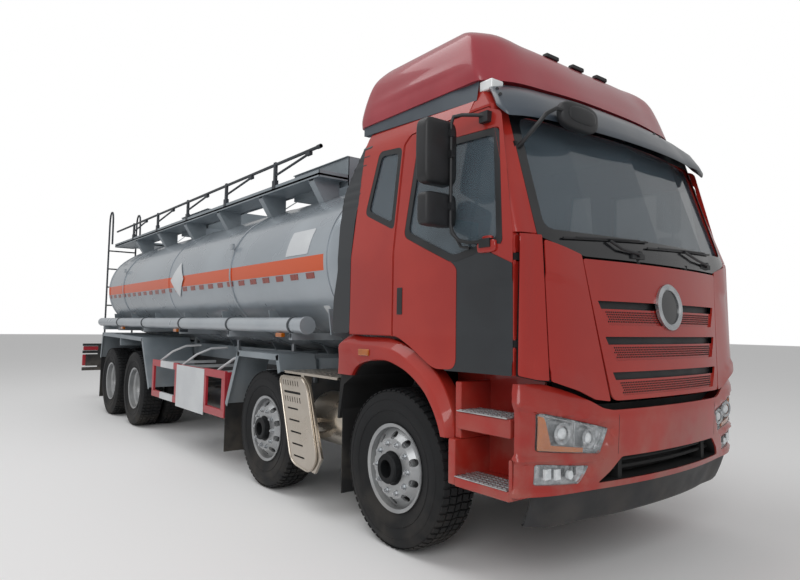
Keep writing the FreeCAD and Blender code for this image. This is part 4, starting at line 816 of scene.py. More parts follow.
def makeNose():
    recesses = []
    for top, low in recessRows:
        end = flapEdge(low) - 0.045
        recesses.append(rounded([(-end - 0.022, top), (end + 0.022, top), (end, top - 0.045), (end - 0.055, low),
                                 (-end + 0.055, low), (-end, top - 0.045)], 0.008, 3))
    flap = panel("grilleFlap", [rounded(flapOutline, [0.02, 0.02, 0.05, 0.05])] + recesses, onFront(0.006), "cabRed",
                 "grille_group", 0.045, 0.012, 0.004)
    backs = Shape()
    for top, low in recessRows:
        end = flapEdge(low) - 0.02
        loops = [[onFront(-0.03)(-end + 2 * end * i / 20, z, 0.0) for i in range(21)] for z in (low - 0.01, top + 0.01)]
        backs.strip(loops)
        for z in (low - 0.004, top + 0.004):       # floor and roof of each recess
            backs.strip([[onFront(d)(-end + 2 * end * i / 20, z, 0.0) for i in range(21)] for d in (-0.03, -0.002)])
    backs.piece("grilleBacks", "blackPlastic", "grille_group", "black_plastic", 40)
    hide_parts("grille_panel")
    for index, (top, low) in enumerate(recessRows):
        end = flapEdge(low) - 0.05
        panel("grilleBand%d" % (index + 1), [[(-end - 0.03, top - 0.046), (end + 0.03, top - 0.046), (end + 0.01, low - 0.006),
                                              (-end - 0.01, low - 0.006)]], onFront(-0.006), "cabRed", "grille_group",
              0.05, 0.003, 0)
    fillPerforations()
    seam = cabFront["sideSeam"]
    for side, name in ((1, "Left"), (-1, "Right")):
        def ledge(y, z):
            upper = 1.745 + (y - 0.82) * 0.21
            lower = 1.205 + (y - 0.74) * 0.28
            rise = 0.012 * max(0.0, min(1.0, (z - upper) / 0.012)) * max(0.0, min(1.0, (y - 0.80) / 0.20))
            foot = 0.012 * max(0.0, min(1.0, (lower - z) / 0.012)) * max(0.0, min(1.0, (y - 0.74) / 0.30))
            return rise + foot
        gap = cabFront["flapGap"]
        outline = [(flapEdge(1.912) + gap, 1.918), (0.806, 1.935), (0.93, 1.966), (seam - 0.003, 2.000), (seam - 0.003, 1.222),
                   (1.00, 1.196), (0.90, 1.166), (0.77, 1.112), (0.655, 1.098)]
        panel("nosePanel" + name, [rounded([(side * y, z) for y, z in outline], 0.012, 3)],
              onFront(0.005, ledge), "cabRed", "cab", 0.035, 0.010, 0.003)
        start = lambda z: seam + 0.003
        outline = [(0.0, 2.028), (1.0, 2.028), (1.0, 1.262), (0.96, 1.250), (0.0, 1.224)]
        # its rear edge leaves room for the door's front edge to swing
        cornerEnd = lambda z: atLevel(cabLevels, z)[5] + 0.12 + max(0.0, z - 1.1) * 0.2
        panel("cornerPanel" + name, [rounded(outline, 0.01, 3)], onCorner(side, start, cornerEnd, 0.005), "cabRed", "cab",
              0.07, 0.008, 0.003)
        pillarStart = lambda z: 1.112 - (z - 2.0) * 0.046
        outline = [(0.0, 2.86), (1.0, 2.86), (1.0, 2.036), (0.0, 2.036)]
        panel("pillar" + name, [outline], onCorner(side, pillarStart, doorX, 0.005), "cabRed", "cab",
              0.09, 0.008, 0.003)
    makeBadge()
    print("nose made")


def holeTree():                                    # a dark hole on every point, facing along its aim
    plan = Layout("holes", [("Radius", "NodeSocketFloat"), ("Depth", "NodeSocketFloat"), ("Material", "NodeSocketMaterial")])
    cup = plan.node("GeometryNodeMeshCylinder", None, {"Vertices": 8, "Radius": plan.given.out("Radius"),
                                                       "Depth": plan.given.out("Depth")})
    aim = plan.node("GeometryNodeInputNamedAttribute", {"data_type": "FLOAT_VECTOR"}, {"Name": "aim"})
    turn = plan.node("FunctionNodeAlignRotationToVector", {"axis": "Z"}, {"Vector": aim})
    return plan.end(plan.node("GeometryNodeInstanceOnPoints", None, {"Points": plan.given, "Instance": cup, "Rotation": turn}))


perforation = {"pitch": 0.0160, "radius": 0.0052, "depth": 0.0030}


def fillPerforations():
    pitch = perforation["pitch"]
    spots, aims = [], []
    for top, low in recessRows:
        end = flapEdge(low) - 0.05
        z, row = top - 0.056 - pitch / 2, 0
        while z > low + pitch / 2:
            share = (top - 0.052 - z) / (top - 0.054 - low)
            reach = end - 0.040 - 0.028 * share
            for i in range(-int(reach / pitch), int(reach / pitch) + 1):
                y = (i + 0.5 * (row % 2)) * pitch
                if abs(y) < reach:
                    x, width = skin(cabLevels, tAcross(cabLevels, abs(y), z), z)
                    near, _ = skin(cabLevels, tAcross(cabLevels, abs(y) + 0.01, z), z)
                    spots.append((x - 0.0062, y, z))
                    aims.append((1.0, math.copysign((x - near) / 0.01, y), 0.08))
            z -= pitch * 0.87
            row += 1
    # the holes are near-black discs on the unpierced band: painted shade standing in for the dark inside of each hole
    grow("grilleHoles", pointCloud(spots, aims), holeTree(), {"Radius": perforation["radius"], "Depth": perforation["depth"],
                                                             "Material": finishes["deepBlack"]}, "grille_group",
         30)


def makeBadge():                                   # the round place on the flap, left plain
    z, radius = cabFront["badgeZ"], cabFront["badgeRadius"]
    x = skin(cabLevels, 0.0, z)[0]
    lean = math.atan2(5.600 - 5.525, 0.91)
    turn = Matrix.Rotation(math.pi / 2 - lean, 4, "Y")
    for name, rows, finish in (("badgeRing", [(0.74, 0.018), (0.80, 0.026), (0.92, 0.028), (1.0, 0.020), (1.0, 0.0),
                                              (0.74, 0.0)], "steelBright"),
                               ("badgeDisc", [(0.0, 0.014), (0.40, 0.0135), (0.75, 0.012), (0.75, 0.0), (0.0, 0.0)],
                                "glossBlack")):
        disc = Shape()
        points = []
        sides = 48
        for i in range(sides):
            angle = math.tau * i / sides
            for r, lift in rows:
                spot = Vector((radius * r * math.cos(angle), radius * r * math.sin(angle), lift))
                points.append(turn @ spot + Vector((x, 0, z)))
        count = len(rows)
        faces = [(i * count + k, i * count + (k + 1) % count, (i + 1) % sides * count + (k + 1) % count,
                  (i + 1) % sides * count + k) for i in range(sides) for k in range(count)]
        disc.add(points, faces)
        disc.piece(name, finish, "grille_group", None, 30)


# Roof fairing: rounded rings between the levels of a table.
fairingLevels = (        # z, middle x, shoulder x, shoulder y, corner x, corner y, side x, half width, rear x
    (3.050, 5.150, 5.115, 0.62, 5.025, 1.010, 4.920, 1.125, 3.650), (3.120, 5.115, 5.085, 0.62, 5.000, 1.010, 4.900, 1.130, 3.655),
    (3.250, 5.040, 5.025, 0.61, 4.955, 0.995, 4.860, 1.115, 3.690), (3.370, 4.950, 4.945, 0.60, 4.905, 0.970, 4.810, 1.090, 3.740),
    (3.440, 4.870, 4.872, 0.58, 4.850, 0.930, 4.750, 1.050, 3.800), (3.490, 4.780, 4.785, 0.55, 4.775, 0.870, 4.670, 0.990, 3.920),
    (3.520, 4.670, 4.675, 0.48, 4.680, 0.760, 4.580, 0.870, 4.120), (3.536, 4.560, 4.560, 0.35, 4.560, 0.550, 4.480, 0.650, 4.300))


def smoothLevels(levels, count):                   # more levels between the given ones, along a smooth line
    out = []
    for i in range(len(levels) - 1):
        a, b = levels[i], levels[i + 1]
        before, after = levels[max(i - 1, 0)], levels[min(i + 2, len(levels) - 1)]
        for k in range(count):
            u = k / count
            out.append([0.5 * (2 * p + (q - o) * u + (2 * o - 5 * p + 4 * q - r) * u * u + (3 * p - o - 3 * q + r) * u ** 3)
                        for o, p, q, r in zip(before, a, b, after)])
    return out + [list(levels[-1])]


def makeFairing():
    rings = []
    levels = smoothLevels(fairingLevels, 5)
    levels.insert(0, [3.049] + [value - 0.05 for value in levels[0][1:8]] + [levels[0][8] + 0.05])
    for row in levels:
        z, rear = row[0], row[8]
        table = (tuple(row[:8]), (row[0] + 1,) + tuple(row[1:8]))
        half = [skin(table, 3 * i / 22, z) for i in range(23)]
        sideX, width = half[-1]
        ridge = 0.010 * math.exp(-((z - 3.20) / 0.025) ** 2)
        run = [(sideX + (rear + 0.06 - sideX) * i / 12, width + ridge * math.sin(math.pi * i / 12)) for i in range(1, 13)]
        turn = [(rear + 0.06 - 0.06 * math.sin(a), width - 0.06 + 0.06 * math.cos(a)) for a in (0.5, 1.05, math.pi / 2)]
        half += run + turn + [(rear, width * (1 - i / 6)) for i in range(1, 6)]
        ring = half + [(rear, 0.0)] + [(x, -y) for x, y in half[:0:-1]]
        rings.append([(x, y, z) for x, y in ring])
    count = len(rings[0])
    shape = Shape().strip(rings, True)
    for ring, z in ((rings[0], 3.049), (rings[-1], 3.5365)):
        low = len(shape.points)
        shape.add(ring + [(4.45, 0.0, z)], [(i, (i + 1) % count, count) for i in range(count)])
    piece = shape.piece("roofFairing", "fairingRed", "cab", "cab_paint", 50)
    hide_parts("roof_fairing")
    trim = Shape()                                 # grey strip between the cab roof and the fairing
    for side in (1, -1):
        top = [(3.70 + 1.24 * i / 10, side * (1.112 if i < 9 else 1.10), 3.052) for i in range(11)]
        low = [(3.70 + 1.24 * i / 10, side * (1.112 + 0.012 * i / 10), 2.985 - 0.065 * i / 10) for i in range(11)]
        back = [(x, y - side * 0.05, z) for x, y, z in low]
        trim.strip([top, low, back])
    trim.piece("roofTrim", "greyTrim", "cab", "black_plastic", 40)
    lamps = Shape()
    for side in (1, -1):
        lamps.box((4.935, side * 1.045 - 0.055, 2.975), (5.045, side * 1.045 + 0.055, 3.045))
    corner = lamps.piece("cornerMarkers", "lampGlass", "cab", "lamp_glass", 30)
    roundEdges(corner, 0.012, 3)
    roof = Shape()
    for y in (-0.30, 0.0, 0.30):
        roof.box((4.845, y - 0.07, 3.438), (4.893, y + 0.07, 3.470))
    roundEdges(roof.piece("roofMarkers", "blackPlastic", "cab", "black_plastic", 30), 0.010, 3)
    print("fairing made")


# Doors: red skin with its window cut, the black lower panel, window rubber and handle.
windowOutline = [(4.400, 2.130), (4.860, 1.930), (5.232, 2.002), (5.140, 2.660), (4.445, 2.690)]
quarterOutline = [(3.905, 2.345), (4.215, 2.215), (4.215, 2.745), (3.995, 2.765)]
darkOutline = [(4.780, 1.262), (4.790, 1.240), (5.340, 1.246), (5.340, 1.862), (5.165, 1.938), (5.125, 1.985),
               (4.902, 1.942), (4.780, 1.86)]


def makeDoors():
    rim = widened(windowOutline, 0.034)
    for side, name in ((1, "Left"), (-1, "Right")):
        body = "door_%s_group" % name.lower()
        # the window's foot cuts the red skin in two
        rear = [(4.273, 1.446), (4.340, 1.428), (4.450, 1.380), (4.575, 1.310), (4.660, 1.262), (4.720, 1.246), (4.892, 1.252),
                (4.893, 1.862), rim[1], rim[0], rim[4], (4.70, rim[4][1] - 0.01), (4.70, 2.834), (4.342, 2.834), (4.279, 2.778)]
        front = [(4.7005, 2.834), (4.7005, rim[4][1] - 0.01), rim[3], rim[2], (5.125, 1.990), (5.168, 1.938), (5.340, 1.862),
                 (5.340, 2.028), (5.176, 2.786), (5.058, 2.834)]
        panel("doorSkinRear" + name, [rounded(rear, [0.03, 0.02, 0.03, 0.03, 0.03, 0.03, 0.07, 0.07, 0, 0.05, 0.03, 0, 0, 0.03, 0.03])],
              onSide(side), "cabRed", body, 0.05, 0.003, 0.0015)
        panel("doorSkinFront" + name, [rounded(front, [0, 0, 0.03, 0.0, 0.01, 0.02, 0.01, 0.0, 0.03, 0.03])],
              onSide(side), "cabRed", body, 0.05, 0.003, 0.0015)

        def creases(x, z):
            upper = 0.006 * max(0.0, min(1.0, (z - 1.758) / 0.012)) * max(0.0, min(1.0, (x - 5.02) / 0.2))
            lower = 0.008 * max(0.0, min(1.0, (1.322 - z) / 0.014)) * max(0.0, min(1.0, (x - 4.98) / 0.3))
            return upper + lower - 0.0025
        panel("doorDark" + name, [rounded(darkOutline, [0.02, 0.02, 0.01, 0.01, 0.01, 0.01, 0.02, 0.02])],
              onSide(side, 0.004, creases), "matteDark", body, 0.025, 0.003, 0.0015)
        panel("windowRubber" + name, [rounded(widened(windowOutline, 0.032), 0.05), rounded(widened(windowOutline, -0.012), 0.04)],
              onSide(side, 0.003), "blackPlastic", body, 0.04, 0.010, 0.002)
        grip = Shape()
        grip.box((4.318, side * 1.238, 1.585), (4.372, side * 1.249, 1.765))
        grip.box((4.306, side * 1.238, 1.570), (4.384, side * 1.2435, 1.782))
        roundEdges(grip.piece("doorHandle" + name, "blackPlastic", body, "black_plastic", 30), 0.006, 3)
        quarter = rounded(widened(quarterOutline, 0.030), 0.05)
        panel("quarterRubber" + name, [quarter, rounded(widened(quarterOutline, -0.010), 0.04)], onSide(side, 0.003),
              "blackPlastic", "cab", 0.04, 0.010, 0.002)
        sideOutline = [(3.742, 1.446), (4.258, 1.446), (4.258, 2.786), (4.330, 2.846), (4.90, 2.846), (4.93, 2.975),
                       (3.775, 2.975)]
        panel("cabSide" + name, [rounded(sideOutline, [0.02, 0.01, 0.03, 0.03, 0, 0, 0.05]), quarter], onSide(side),
              "cabRed", "cab", 0.05, 0.003, 0.0015)
    print("doors made")


# Windscreen: black border with the cowl under it, wipers, sun visor.
def makeScreen():
    outer = [(-1.108, 2.022), (-0.92, 1.958), (-0.78, 1.926), (0.78, 1.926), (0.92, 1.958), (1.108, 2.022), (1.073, 2.835), (-1.073, 2.835)]
    inner = [(-1.052, 2.066), (1.052, 2.066), (1.028, 2.772), (-1.028, 2.772)]
    panel("screenBorder", [rounded(outer, 0.02), rounded(inner, 0.075, 6)], onFront(0.004), "glossBlack", "cab",
          0.05, 0.004, 0.0015)
    wipers = Shape()
    on = lambda y, z, proud: tuple(onFront(proud)(y, z, 0.0))
    for pivot, reach in ((-0.30, -0.95), (0.62, -0.20)):
        wipers.pipe([on(pivot, 1.972, 0.0), on(pivot, 1.972, 0.030)], 0.020, 10)
        wipers.pipe([on(pivot, 1.972, 0.026), on(pivot - 0.18, 1.990, 0.030), on((pivot + reach) / 2 + 0.05, 2.034, 0.026)], 0.009, 8)
        blade = [on(reach + (pivot + 0.12 - reach) * i / 8, 2.020 + 0.040 * i / 8, 0.016) for i in range(9)]
        wipers.pipe(blade, 0.007, 6)
        wipers.pipe([on(reach + (pivot + 0.12 - reach) * i / 8, 2.026 + 0.040 * i / 8, 0.024) for i in range(1, 8)], 0.005, 6)
    for y in (-0.30, 0.62):
        wipers.box((skin(cabLevels, tAcross(cabLevels, abs(y), 1.96), 1.96)[0] - 0.01, y - 0.07, 1.944),
                   (skin(cabLevels, tAcross(cabLevels, abs(y), 1.96), 1.96)[0] + 0.014, y + 0.07, 1.976))
    wipers.piece("wipers", "blackPlastic", "cab", "black_plastic", 40)

    rows = ((3.036, 0.004), (3.024, 0.030), (2.975, 0.062), (2.890, 0.084), (2.800, 0.098), (2.752, 0.106), (2.742, 0.101),
            (2.748, 0.092), (2.800, 0.084), (2.890, 0.068), (2.975, 0.046), (3.010, 0.004))
    steps = [(-2.62 + 5.24 * i / 72) for i in range(73)]
    loops = []
    for t in steps:
        far = max(0.0, (abs(t) - 2.30) / 0.32)
        lift = 0.070 * far * far
        shrink = 1.0 - 0.35 * far ** 3
        loops.append([skinPoint(cabLevels, abs(t), min(z + lift * (3.036 - z) / 0.29, 3.036), 1 if t >= 0 else -1, proud * shrink)
                      for z, proud in rows])
    visor = Shape().strip(loops, True)
    for loop in (loops[0], loops[-1]):
        middle = sum((Vector(p) for p in loop), Vector()) / len(loop)
        visor.add([tuple(p) for p in loop] + [tuple(middle)], [(i, (i + 1) % len(loop), len(loop)) for i in range(len(loop))])
    piece = visor.piece("sunVisor", "visorGrey", "cab", "black_plastic", 45)
    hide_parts("sun_visor")
    bolts = Shape()
    for side in (1, -1):
        for z in (2.955, 2.895):
            a, b = (skinPoint(cabLevels, 2.40, z, side, proud) for proud in (0.040, 0.0735 if z > 2.9 else 0.090))
            bolts.pipe([tuple(a), tuple(b)], 0.011, 8)
    for y in (-0.55, -0.45, 0.45, 0.55):
        a, b = (onFront(proud)(y, 2.965, 0.0) for proud in (0.04, 0.071))
        bolts.pipe([tuple(a), tuple(b)], 0.010, 8)
    bolts.piece("visorBolts", "blackPlastic", "cab", "black_plastic", 40)
    print("windscreen made")


# Mirrors: rounded housings on bent tubes.
mirrorSizes = {"large": ((4.786, 1.238, 2.362), (4.898, 1.498, 2.764)), "small": ((4.800, 1.238, 2.108), (4.896, 1.492, 2.312)),
               "front": ((5.335, -0.885, 2.702), (5.425, -0.515, 2.872)), "tube": 0.0115}


def lump(shape, low, high, power=0.28, rows=12, sides=24):       # a box with all its edges rounded
    middle = [(a + b) / 2 for a, b in zip(low, high)]
    half = [(b - a) / 2 for a, b in zip(low, high)]
    bend = lambda v: math.copysign(abs(v) ** power, v)
    loops = []
    for i in range(rows + 1):
        up = -math.pi / 2 + math.pi * i / rows
        wide, rise = bend(math.cos(up)) if 0 < i < rows else 0.0, bend(math.sin(up))
        loops.append([(middle[0] + half[0] * wide * bend(math.cos(a)), middle[1] + half[1] * wide * bend(math.sin(a)),
                       middle[2] + half[2] * rise) for a in (math.tau * (k + 0.5) / sides for k in range(sides))])
    return shape.strip(loops, True)


def makeMirrors():
    for side, name in ((1, "Left"), (-1, "Right")):
        body = "door_%s_group" % name.lower()
        flip = lambda path: [(x, side * y, z) for x, y, z in path]
        housing = Shape()
        for kind in ("large", "small"):
            low, high = mirrorSizes[kind]
            ends = sorted((side * low[1], side * high[1]))
            lump(housing, (low[0], ends[0], low[2]), (high[0], ends[1], high[2]), 0.30)
        piece = housing.piece("mirrorHousing" + name, "blackPlastic", body, "black_plastic", 50)
        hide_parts("mirror_%s" % name.lower())
        glass = Shape()
        for kind in ("large", "small"):
            low, high = mirrorSizes[kind]
            frame = rounded([(low[1] + 0.022, low[2] + 0.024), (high[1] - 0.022, low[2] + 0.024),
                             (high[1] - 0.022, high[2] - 0.024), (low[1] + 0.022, high[2] - 0.024)], 0.03)
            ring = [(low[0] - 0.001, side * y, z) for y, z in frame]
            back = [(low[0] + 0.006, y, z) for _, y, z in ring]
            middle = (low[0] - 0.001, side * (low[1] + high[1]) / 2, (low[2] + high[2]) / 2)
            glass.strip([back, ring], True)
            glass.add(ring + [middle], [(i, (i + 1) % len(ring), len(ring)) for i in range(len(ring))])
        glass.piece("mirrorGlass" + name, "steelBright", body, "window_glass", 30)
        arms = Shape()
        tube = mirrorSizes["tube"]
        arms.pipe(flip([(5.085, 1.176, 2.772), (5.02, 1.21, 2.786), (4.955, 1.262, 2.792), (4.918, 1.300, 2.782),
                        (4.908, 1.308, 2.74), (4.908, 1.308, 2.55), (4.908, 1.308, 2.30), (4.908, 1.308, 2.12),
                        (4.918, 1.302, 2.065), (4.955, 1.285, 2.022), (5.02, 1.262, 2.004), (5.13, 1.256, 2.000)]), tube, 10)
        arms.pipe(flip([(4.915, 1.304, 2.09), (4.96, 1.27, 1.985), (5.02, 1.256, 1.972)]), tube * 0.8, 8)
        for z in (2.23, 2.55, 2.68):
            arms.box((4.884, side * 1.308 - 0.016, z - 0.022), (4.924, side * 1.308 + 0.016, z + 0.022))
        ends = sorted((side * 1.150, side * 1.196))
        arms.box((5.030, ends[0], 2.735), (5.100, ends[1], 2.800))
        ends = sorted((side * 1.235, side * 1.270))
        arms.box((5.105, ends[0], 1.965), (5.190, ends[1], 2.016))
        arms.piece("mirrorArms" + name, "blackPlastic", body, "black_plastic", 40)
        foot = Shape()
        lump(foot, (5.075, min(side * 1.23, side * 1.262), 1.935), (5.225, max(side * 1.23, side * 1.262), 2.010), 0.45, 8, 16)
        lump(foot, (5.110, min(side * 1.226, side * 1.256), 1.985), (5.190, max(side * 1.226, side * 1.256), 2.035), 0.5, 8, 16)
        foot.piece("mirrorFoot" + name, "cabRed", body, "cab_paint", 50)
    front = Shape()
    low, high = mirrorSizes["front"]
    lump(front, low, high, 0.66, 14, 28)
    lump(front, (5.395, -0.840, 2.735), (5.436, -0.570, 2.838), 0.7, 8, 20)
    piece = front.piece("frontMirror", "blackPlastic", "cab", "black_plastic", 55)
    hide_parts("front_mirror")
    arm = Shape()
    arm.pipe([(5.205, -1.074, 2.560), (5.27, -1.066, 2.600), (5.34, -1.045, 2.672), (5.385, -1.005, 2.745), (5.398, -0.93, 2.790),
              (5.390, -0.80, 2.800)], 0.0125, 10)
    arm.box((5.165, -1.096, 2.525), (5.225, -1.060, 2.605))
    arm.piece("frontMirrorArm", "blackPlastic", "cab", "black_plastic", 40)
    print("mirrors made")


# Bumper: one skin round the front with the lamps and the intake cut, laid out by the distance along it.
bumperLevels = (         # as the cab levels
    (0.600, 5.560, 5.500, 0.700, 5.400, 1.150, 5.340, 1.250), (0.700, 5.590, 5.530, 0.700, 5.415, 1.150, 5.350, 1.250),
    (1.000, 5.600, 5.545, 0.700, 5.428, 1.150, 5.355, 1.250), (1.105, 5.590, 5.535, 0.700, 5.422, 1.150, 5.352, 1.250),
    (1.205, 5.500, 5.470, 0.680, 5.385, 1.110, 5.330, 1.210))
lipLevels = (
    (0.402, 5.440, 5.385, 0.690, 5.290, 1.050, 5.262, 1.066), (0.425, 5.465, 5.410, 0.690, 5.318, 1.058, 5.290, 1.078),
    (0.520, 5.500, 5.445, 0.700, 5.360, 1.068, 5.332, 1.090), (0.601, 5.525, 5.470, 0.700, 5.385, 1.074, 5.357, 1.096))
lampOutline = [(0.655, 0.945), (1.118, 1.050), (1.118, 0.842), (0.715, 0.806)]
fogOutline = [(0.795, 0.745), (1.118, 0.775), (1.118, 0.662), (0.855, 0.650)]
intakeOutline = [(-0.547, 0.777), (0.547, 0.777), (0.716, 0.640), (-0.716, 0.640)]


def onBumper(proud=0.0, form=None, levels=bumperLevels):
    def place(along, z, inset):
        side, reach = (1 if along >= 0 else -1), abs(along)
        more = form(reach, z) if form else 0.0
        rest = reach - 1.10
        if rest <= 0:
            t = tAcross(levels, reach, z)
        elif rest < 0.17:
            first = tAcross(levels, 1.10, z)
            t = first + rest / 0.17 * (3 - first)
        else:
            t = 3 + rest - 0.17
        return skinPoint(levels, t, z, side, proud + more - inset)
    return place


def dish(outline, depth, slope):                   # a sunk field with sloping edges inside an outline turning clockwise
    def form(a, b):
        least = 1.0
        for (p, q), (r, s) in zip(outline, outline[1:] + outline[:1]):
            least = min(least, ((a - p) * (s - q) - (b - q) * (r - p)) / math.dist((p, q), (r, s)))
        return -depth * max(0.0, min(1.0, least / slope))
    return form


def denser(loop, spacing):
    out = []
    for a, b in zip(loop, loop[1:] + loop[:1]):
        count = max(1, math.ceil(math.dist(a, b) / spacing))
        out += [(a[0] + (b[0] - a[0]) * k / count, a[1] + (b[1] - a[1]) * k / count) for k in range(count)]
    return out


def mirrorLoop(loop, side):
    return loop if side > 0 else [(-a, b) for a, b in loop]


def makeBumper():
    half = [(0.62, 1.045), (0.70, 1.060), (0.77, 1.094), (0.90, 1.148), (1.00, 1.180), (1.08, 1.202), (1.283, 1.202),
            (1.283, 0.602)]
    outline = half + [(-a, b) for a, b in half[::-1]]
    loops = [rounded(outline, [0.02, 0.02, 0.02, 0.02, 0.02, 0.02, 0.004, 0.02] + [0.02, 0.004] + [0.02] * 6, 3),
             rounded(intakeOutline, 0.018)]
    for side in (1, -1):
        loops += [rounded(mirrorLoop(lampOutline, side), 0.016), rounded(mirrorLoop(fogOutline, side), 0.012)]
    lampField = dish([(1.30, 1.092), (1.30, 0.812), (0.80, 0.775), (0.695, 0.783), (0.590, 0.960)], 0.020, 0.014)
    fogField = dish([(1.30, 0.798), (1.30, 0.632), (0.87, 0.622), (0.825, 0.632), (0.745, 0.768)], 0.018, 0.014)

    def form(y, z):
        lip = 0.006 * max(0.0, min(1.0, (z - 1.128) / 0.012)) * max(0.0, min(1.0, (y - 0.80) / 0.2))
        return lampField(y, z) + fogField(y, z) + lip - 0.0005
    skinPiece = panel("bumperSkin", loops, onBumper(0.0, form), "cabRed", "chassis", 0.024, 0.012, 0.003)
    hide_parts("bumper")
    liner = Shape()
    loop = denser(rounded(intakeOutline, 0.018), 0.05)
    rings = [[tuple(onBumper(proud)(a, z, 0.0)) for a, z in loop] for proud in (-0.008, -0.150)]
    liner.strip(rings, True)
    liner.strip([[tuple(onBumper(-0.150)(-0.75 + 1.5 * i / 30, z, 0.0)) for i in range(31)] for z in (0.62, 0.80)])
    for z in (0.700, 0.745):
        liner.pipe([tuple(onBumper(-0.075)(-0.66 + 1.32 * i / 24, z, 0.0)) for i in range(25)], 0.013, 8)
    for y in (-0.50, 0.50):
        a = onBumper(-0.08)(y, 0.71, 0.0)
        liner.box((a.x - 0.05, y - 0.02, 0.635), (a.x + 0.03, y + 0.02, 0.785))
    liner.piece("intakeLiner", "deepBlack", "chassis", "black_plastic", 30)
    # a near-black sheet set back in the gap between the bumper and the grille flap: painted shade in the gap
    gap = [(-0.78, 1.070), (0.78, 1.070), (0.60, 1.020), (-0.60, 1.020)]
    panel("noseGap", [gap], onFront(-0.095), "deepBlack", "chassis", 0.05, 0.003, 0)
    rings = []
    for row in smoothLevels(lipLevels, 2):
        table = (tuple(row), (row[0] + 1,) + tuple(row[1:]))
        line = [skin(table, 3 * i / 24, row[0]) for i in range(25)] + [skin(table, 3.006, row[0])]
        rings.append([(x, -y, row[0]) for x, y in line[::-1]] + [(x, y, row[0]) for x, y in line[1:]])
    inner = [[(x - 0.02, y * 0.985, z) for x, y, z in ring] for ring in rings]
    lip = Shape().strip(inner[::-1] + rings + [inner[-1]])
    piece = lip.piece("bumperLip", "blackPlastic", "chassis", "black_plastic", 50)
    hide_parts("bumper_lip")
    seams = Shape()
    for y in (-0.58, 0.58):
        path = [tuple(onBumper(-0.0012)(y, 0.795 + 0.025 * i, 0.0)) for i in range(10)]
        seams.pipe(path, 0.0018, 4)
    seams.piece("bumperSeams", "blackPlastic", "chassis", "black_plastic")
    makeLamps()
    print("bumper made")


def makeLamps():
    bowls, lenses, ambers = Shape(), Shape(), Shape()
    for side in (1, -1):
        for outline, depth in ((lampOutline, 0.052), (fogOutline, 0.040)):
            loop = denser(rounded(mirrorLoop(outline, side), 0.016 if outline is lampOutline else 0.012), 0.05)
            rim, floor = ([tuple(onBumper(proud)(a, z, 0.0)) for a, z in loop] for proud in (-0.015, -depth))
            middle = [sum(p[k] for p in floor) / len(floor) for k in range(3)]
            bowls.strip([rim, floor], True)
            bowls.add(floor + [tuple(middle)], [(i, (i + 1) % len(floor), len(floor)) for i in range(len(floor))])
        spot = lambda y, z, proud: onBumper(proud)(side * y, z, 0.0)
        for y, z, wide, tall in ((0.985, 0.932, 0.075, 0.060), (0.790, 0.895, 0.060, 0.056)):     # cups with a bead lens
            centre = spot(y, z, -0.046)
            for k, (share, out) in enumerate(((1.0, 0.018), (0.80, 0.010), (0.62, 0.020))):
                ring = [(centre.x + out, centre.y + wide * share * math.cos(a), centre.z + tall * share * math.sin(a))
                        for a in (math.tau * i / 24 for i in range(24))]
                if k:
                    bowls.strip([last, ring], True)
                last = ring
            lump(lenses, (centre.x - 0.010, centre.y - wide * 0.60, centre.z - tall * 0.60),
                 (centre.x + 0.026, centre.y + wide * 0.60, centre.z + tall * 0.60), 1.0, 8, 16)
        for a, b in (((0.893, 0.990), (0.893, 0.842)), ((0.893, 0.842), (0.75, 0.822)), ((0.860, 0.984), (0.725, 0.948)),
                     ((1.090, 1.028), (0.910, 0.990)), ((0.695, 0.925), (0.740, 0.826))):
            bowls.pipe([tuple(spot(a[0], a[1], -0.034)), tuple(spot(b[0], b[1], -0.034))], 0.005, 6)
        strip = mirrorLoop([(1.113, 1.032), (1.101, 1.024), (1.058, 0.872), (0.836, 0.846), (0.836, 0.820), (1.113, 0.846)], side)
        panel("lampAmber" + ("Left" if side > 0 else "Right"), [strip], onBumper(-0.022), "amber", "chassis", 0.03,
              0.012, 0.002)
        for y, z, half in ((1.070, 0.716, 0.026), (1.005, 0.712, 0.022)):
            centre = spot(y, z, -0.034)
            lenses.box((centre.x - 0.004, centre.y - half, z - 0.028), (centre.x + 0.010, centre.y + half, z + 0.028))
        centre = spot(0.925, 0.704, -0.036)
        lenses.pipe([tuple(centre), (centre.x + 0.018, centre.y, centre.z)], 0.024, 16)
        for y in (0.885, 0.965):
            ambers.box((spot(y, 0.72, -0.03).x, spot(y, 0.72, 0).y - 0.010, 0.700), (spot(y, 0.72, -0.024).x, spot(y, 0.72, 0).y + 0.010, 0.745))
        for outline, label in ((lampOutline, "head"), (fogOutline, "fog")):
            loop = rounded(mirrorLoop(outline, side), 0.016 if outline is lampOutline else 0.012)
            panel(label + "Cover" + ("Left" if side > 0 else "Right"), [widened(loop, -0.003)], onBumper(-0.0125), "clearCover",
                  "chassis", 0.05, 0.002, 0)
    piece = bowls.piece("lampBowls", "lampBowl", "chassis", "lamp_glass", 40)
    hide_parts("lamps")
    lenses.piece("lampLenses", "lampLens", "chassis", "lamp_glass", 50)
    ambers.piece("fogRims", "matteDark", "chassis", "lamp_glass")


# Entry steps: tread plates with rows of raised bars on the boxes of the frame.
def barTree():                                     # a small bar on every point, along its aim
    plan = Layout("bars", [("Size", "NodeSocketVector"), ("Material", "NodeSocketMaterial")])
    bar = plan.node("GeometryNodeMeshCube", None, {"Size": plan.given.out("Size")})
    aim = plan.node("GeometryNodeInputNamedAttribute", {"data_type": "FLOAT_VECTOR"}, {"Name": "aim"})
    turn = plan.node("FunctionNodeAlignRotationToVector", {"axis": "Z"}, {"Vector": aim})
    return plan.end(plan.node("GeometryNodeInstanceOnPoints", None,
                              {"Points": plan.given, "Instance": bar, "Rotation": turn}))


barTrees = []


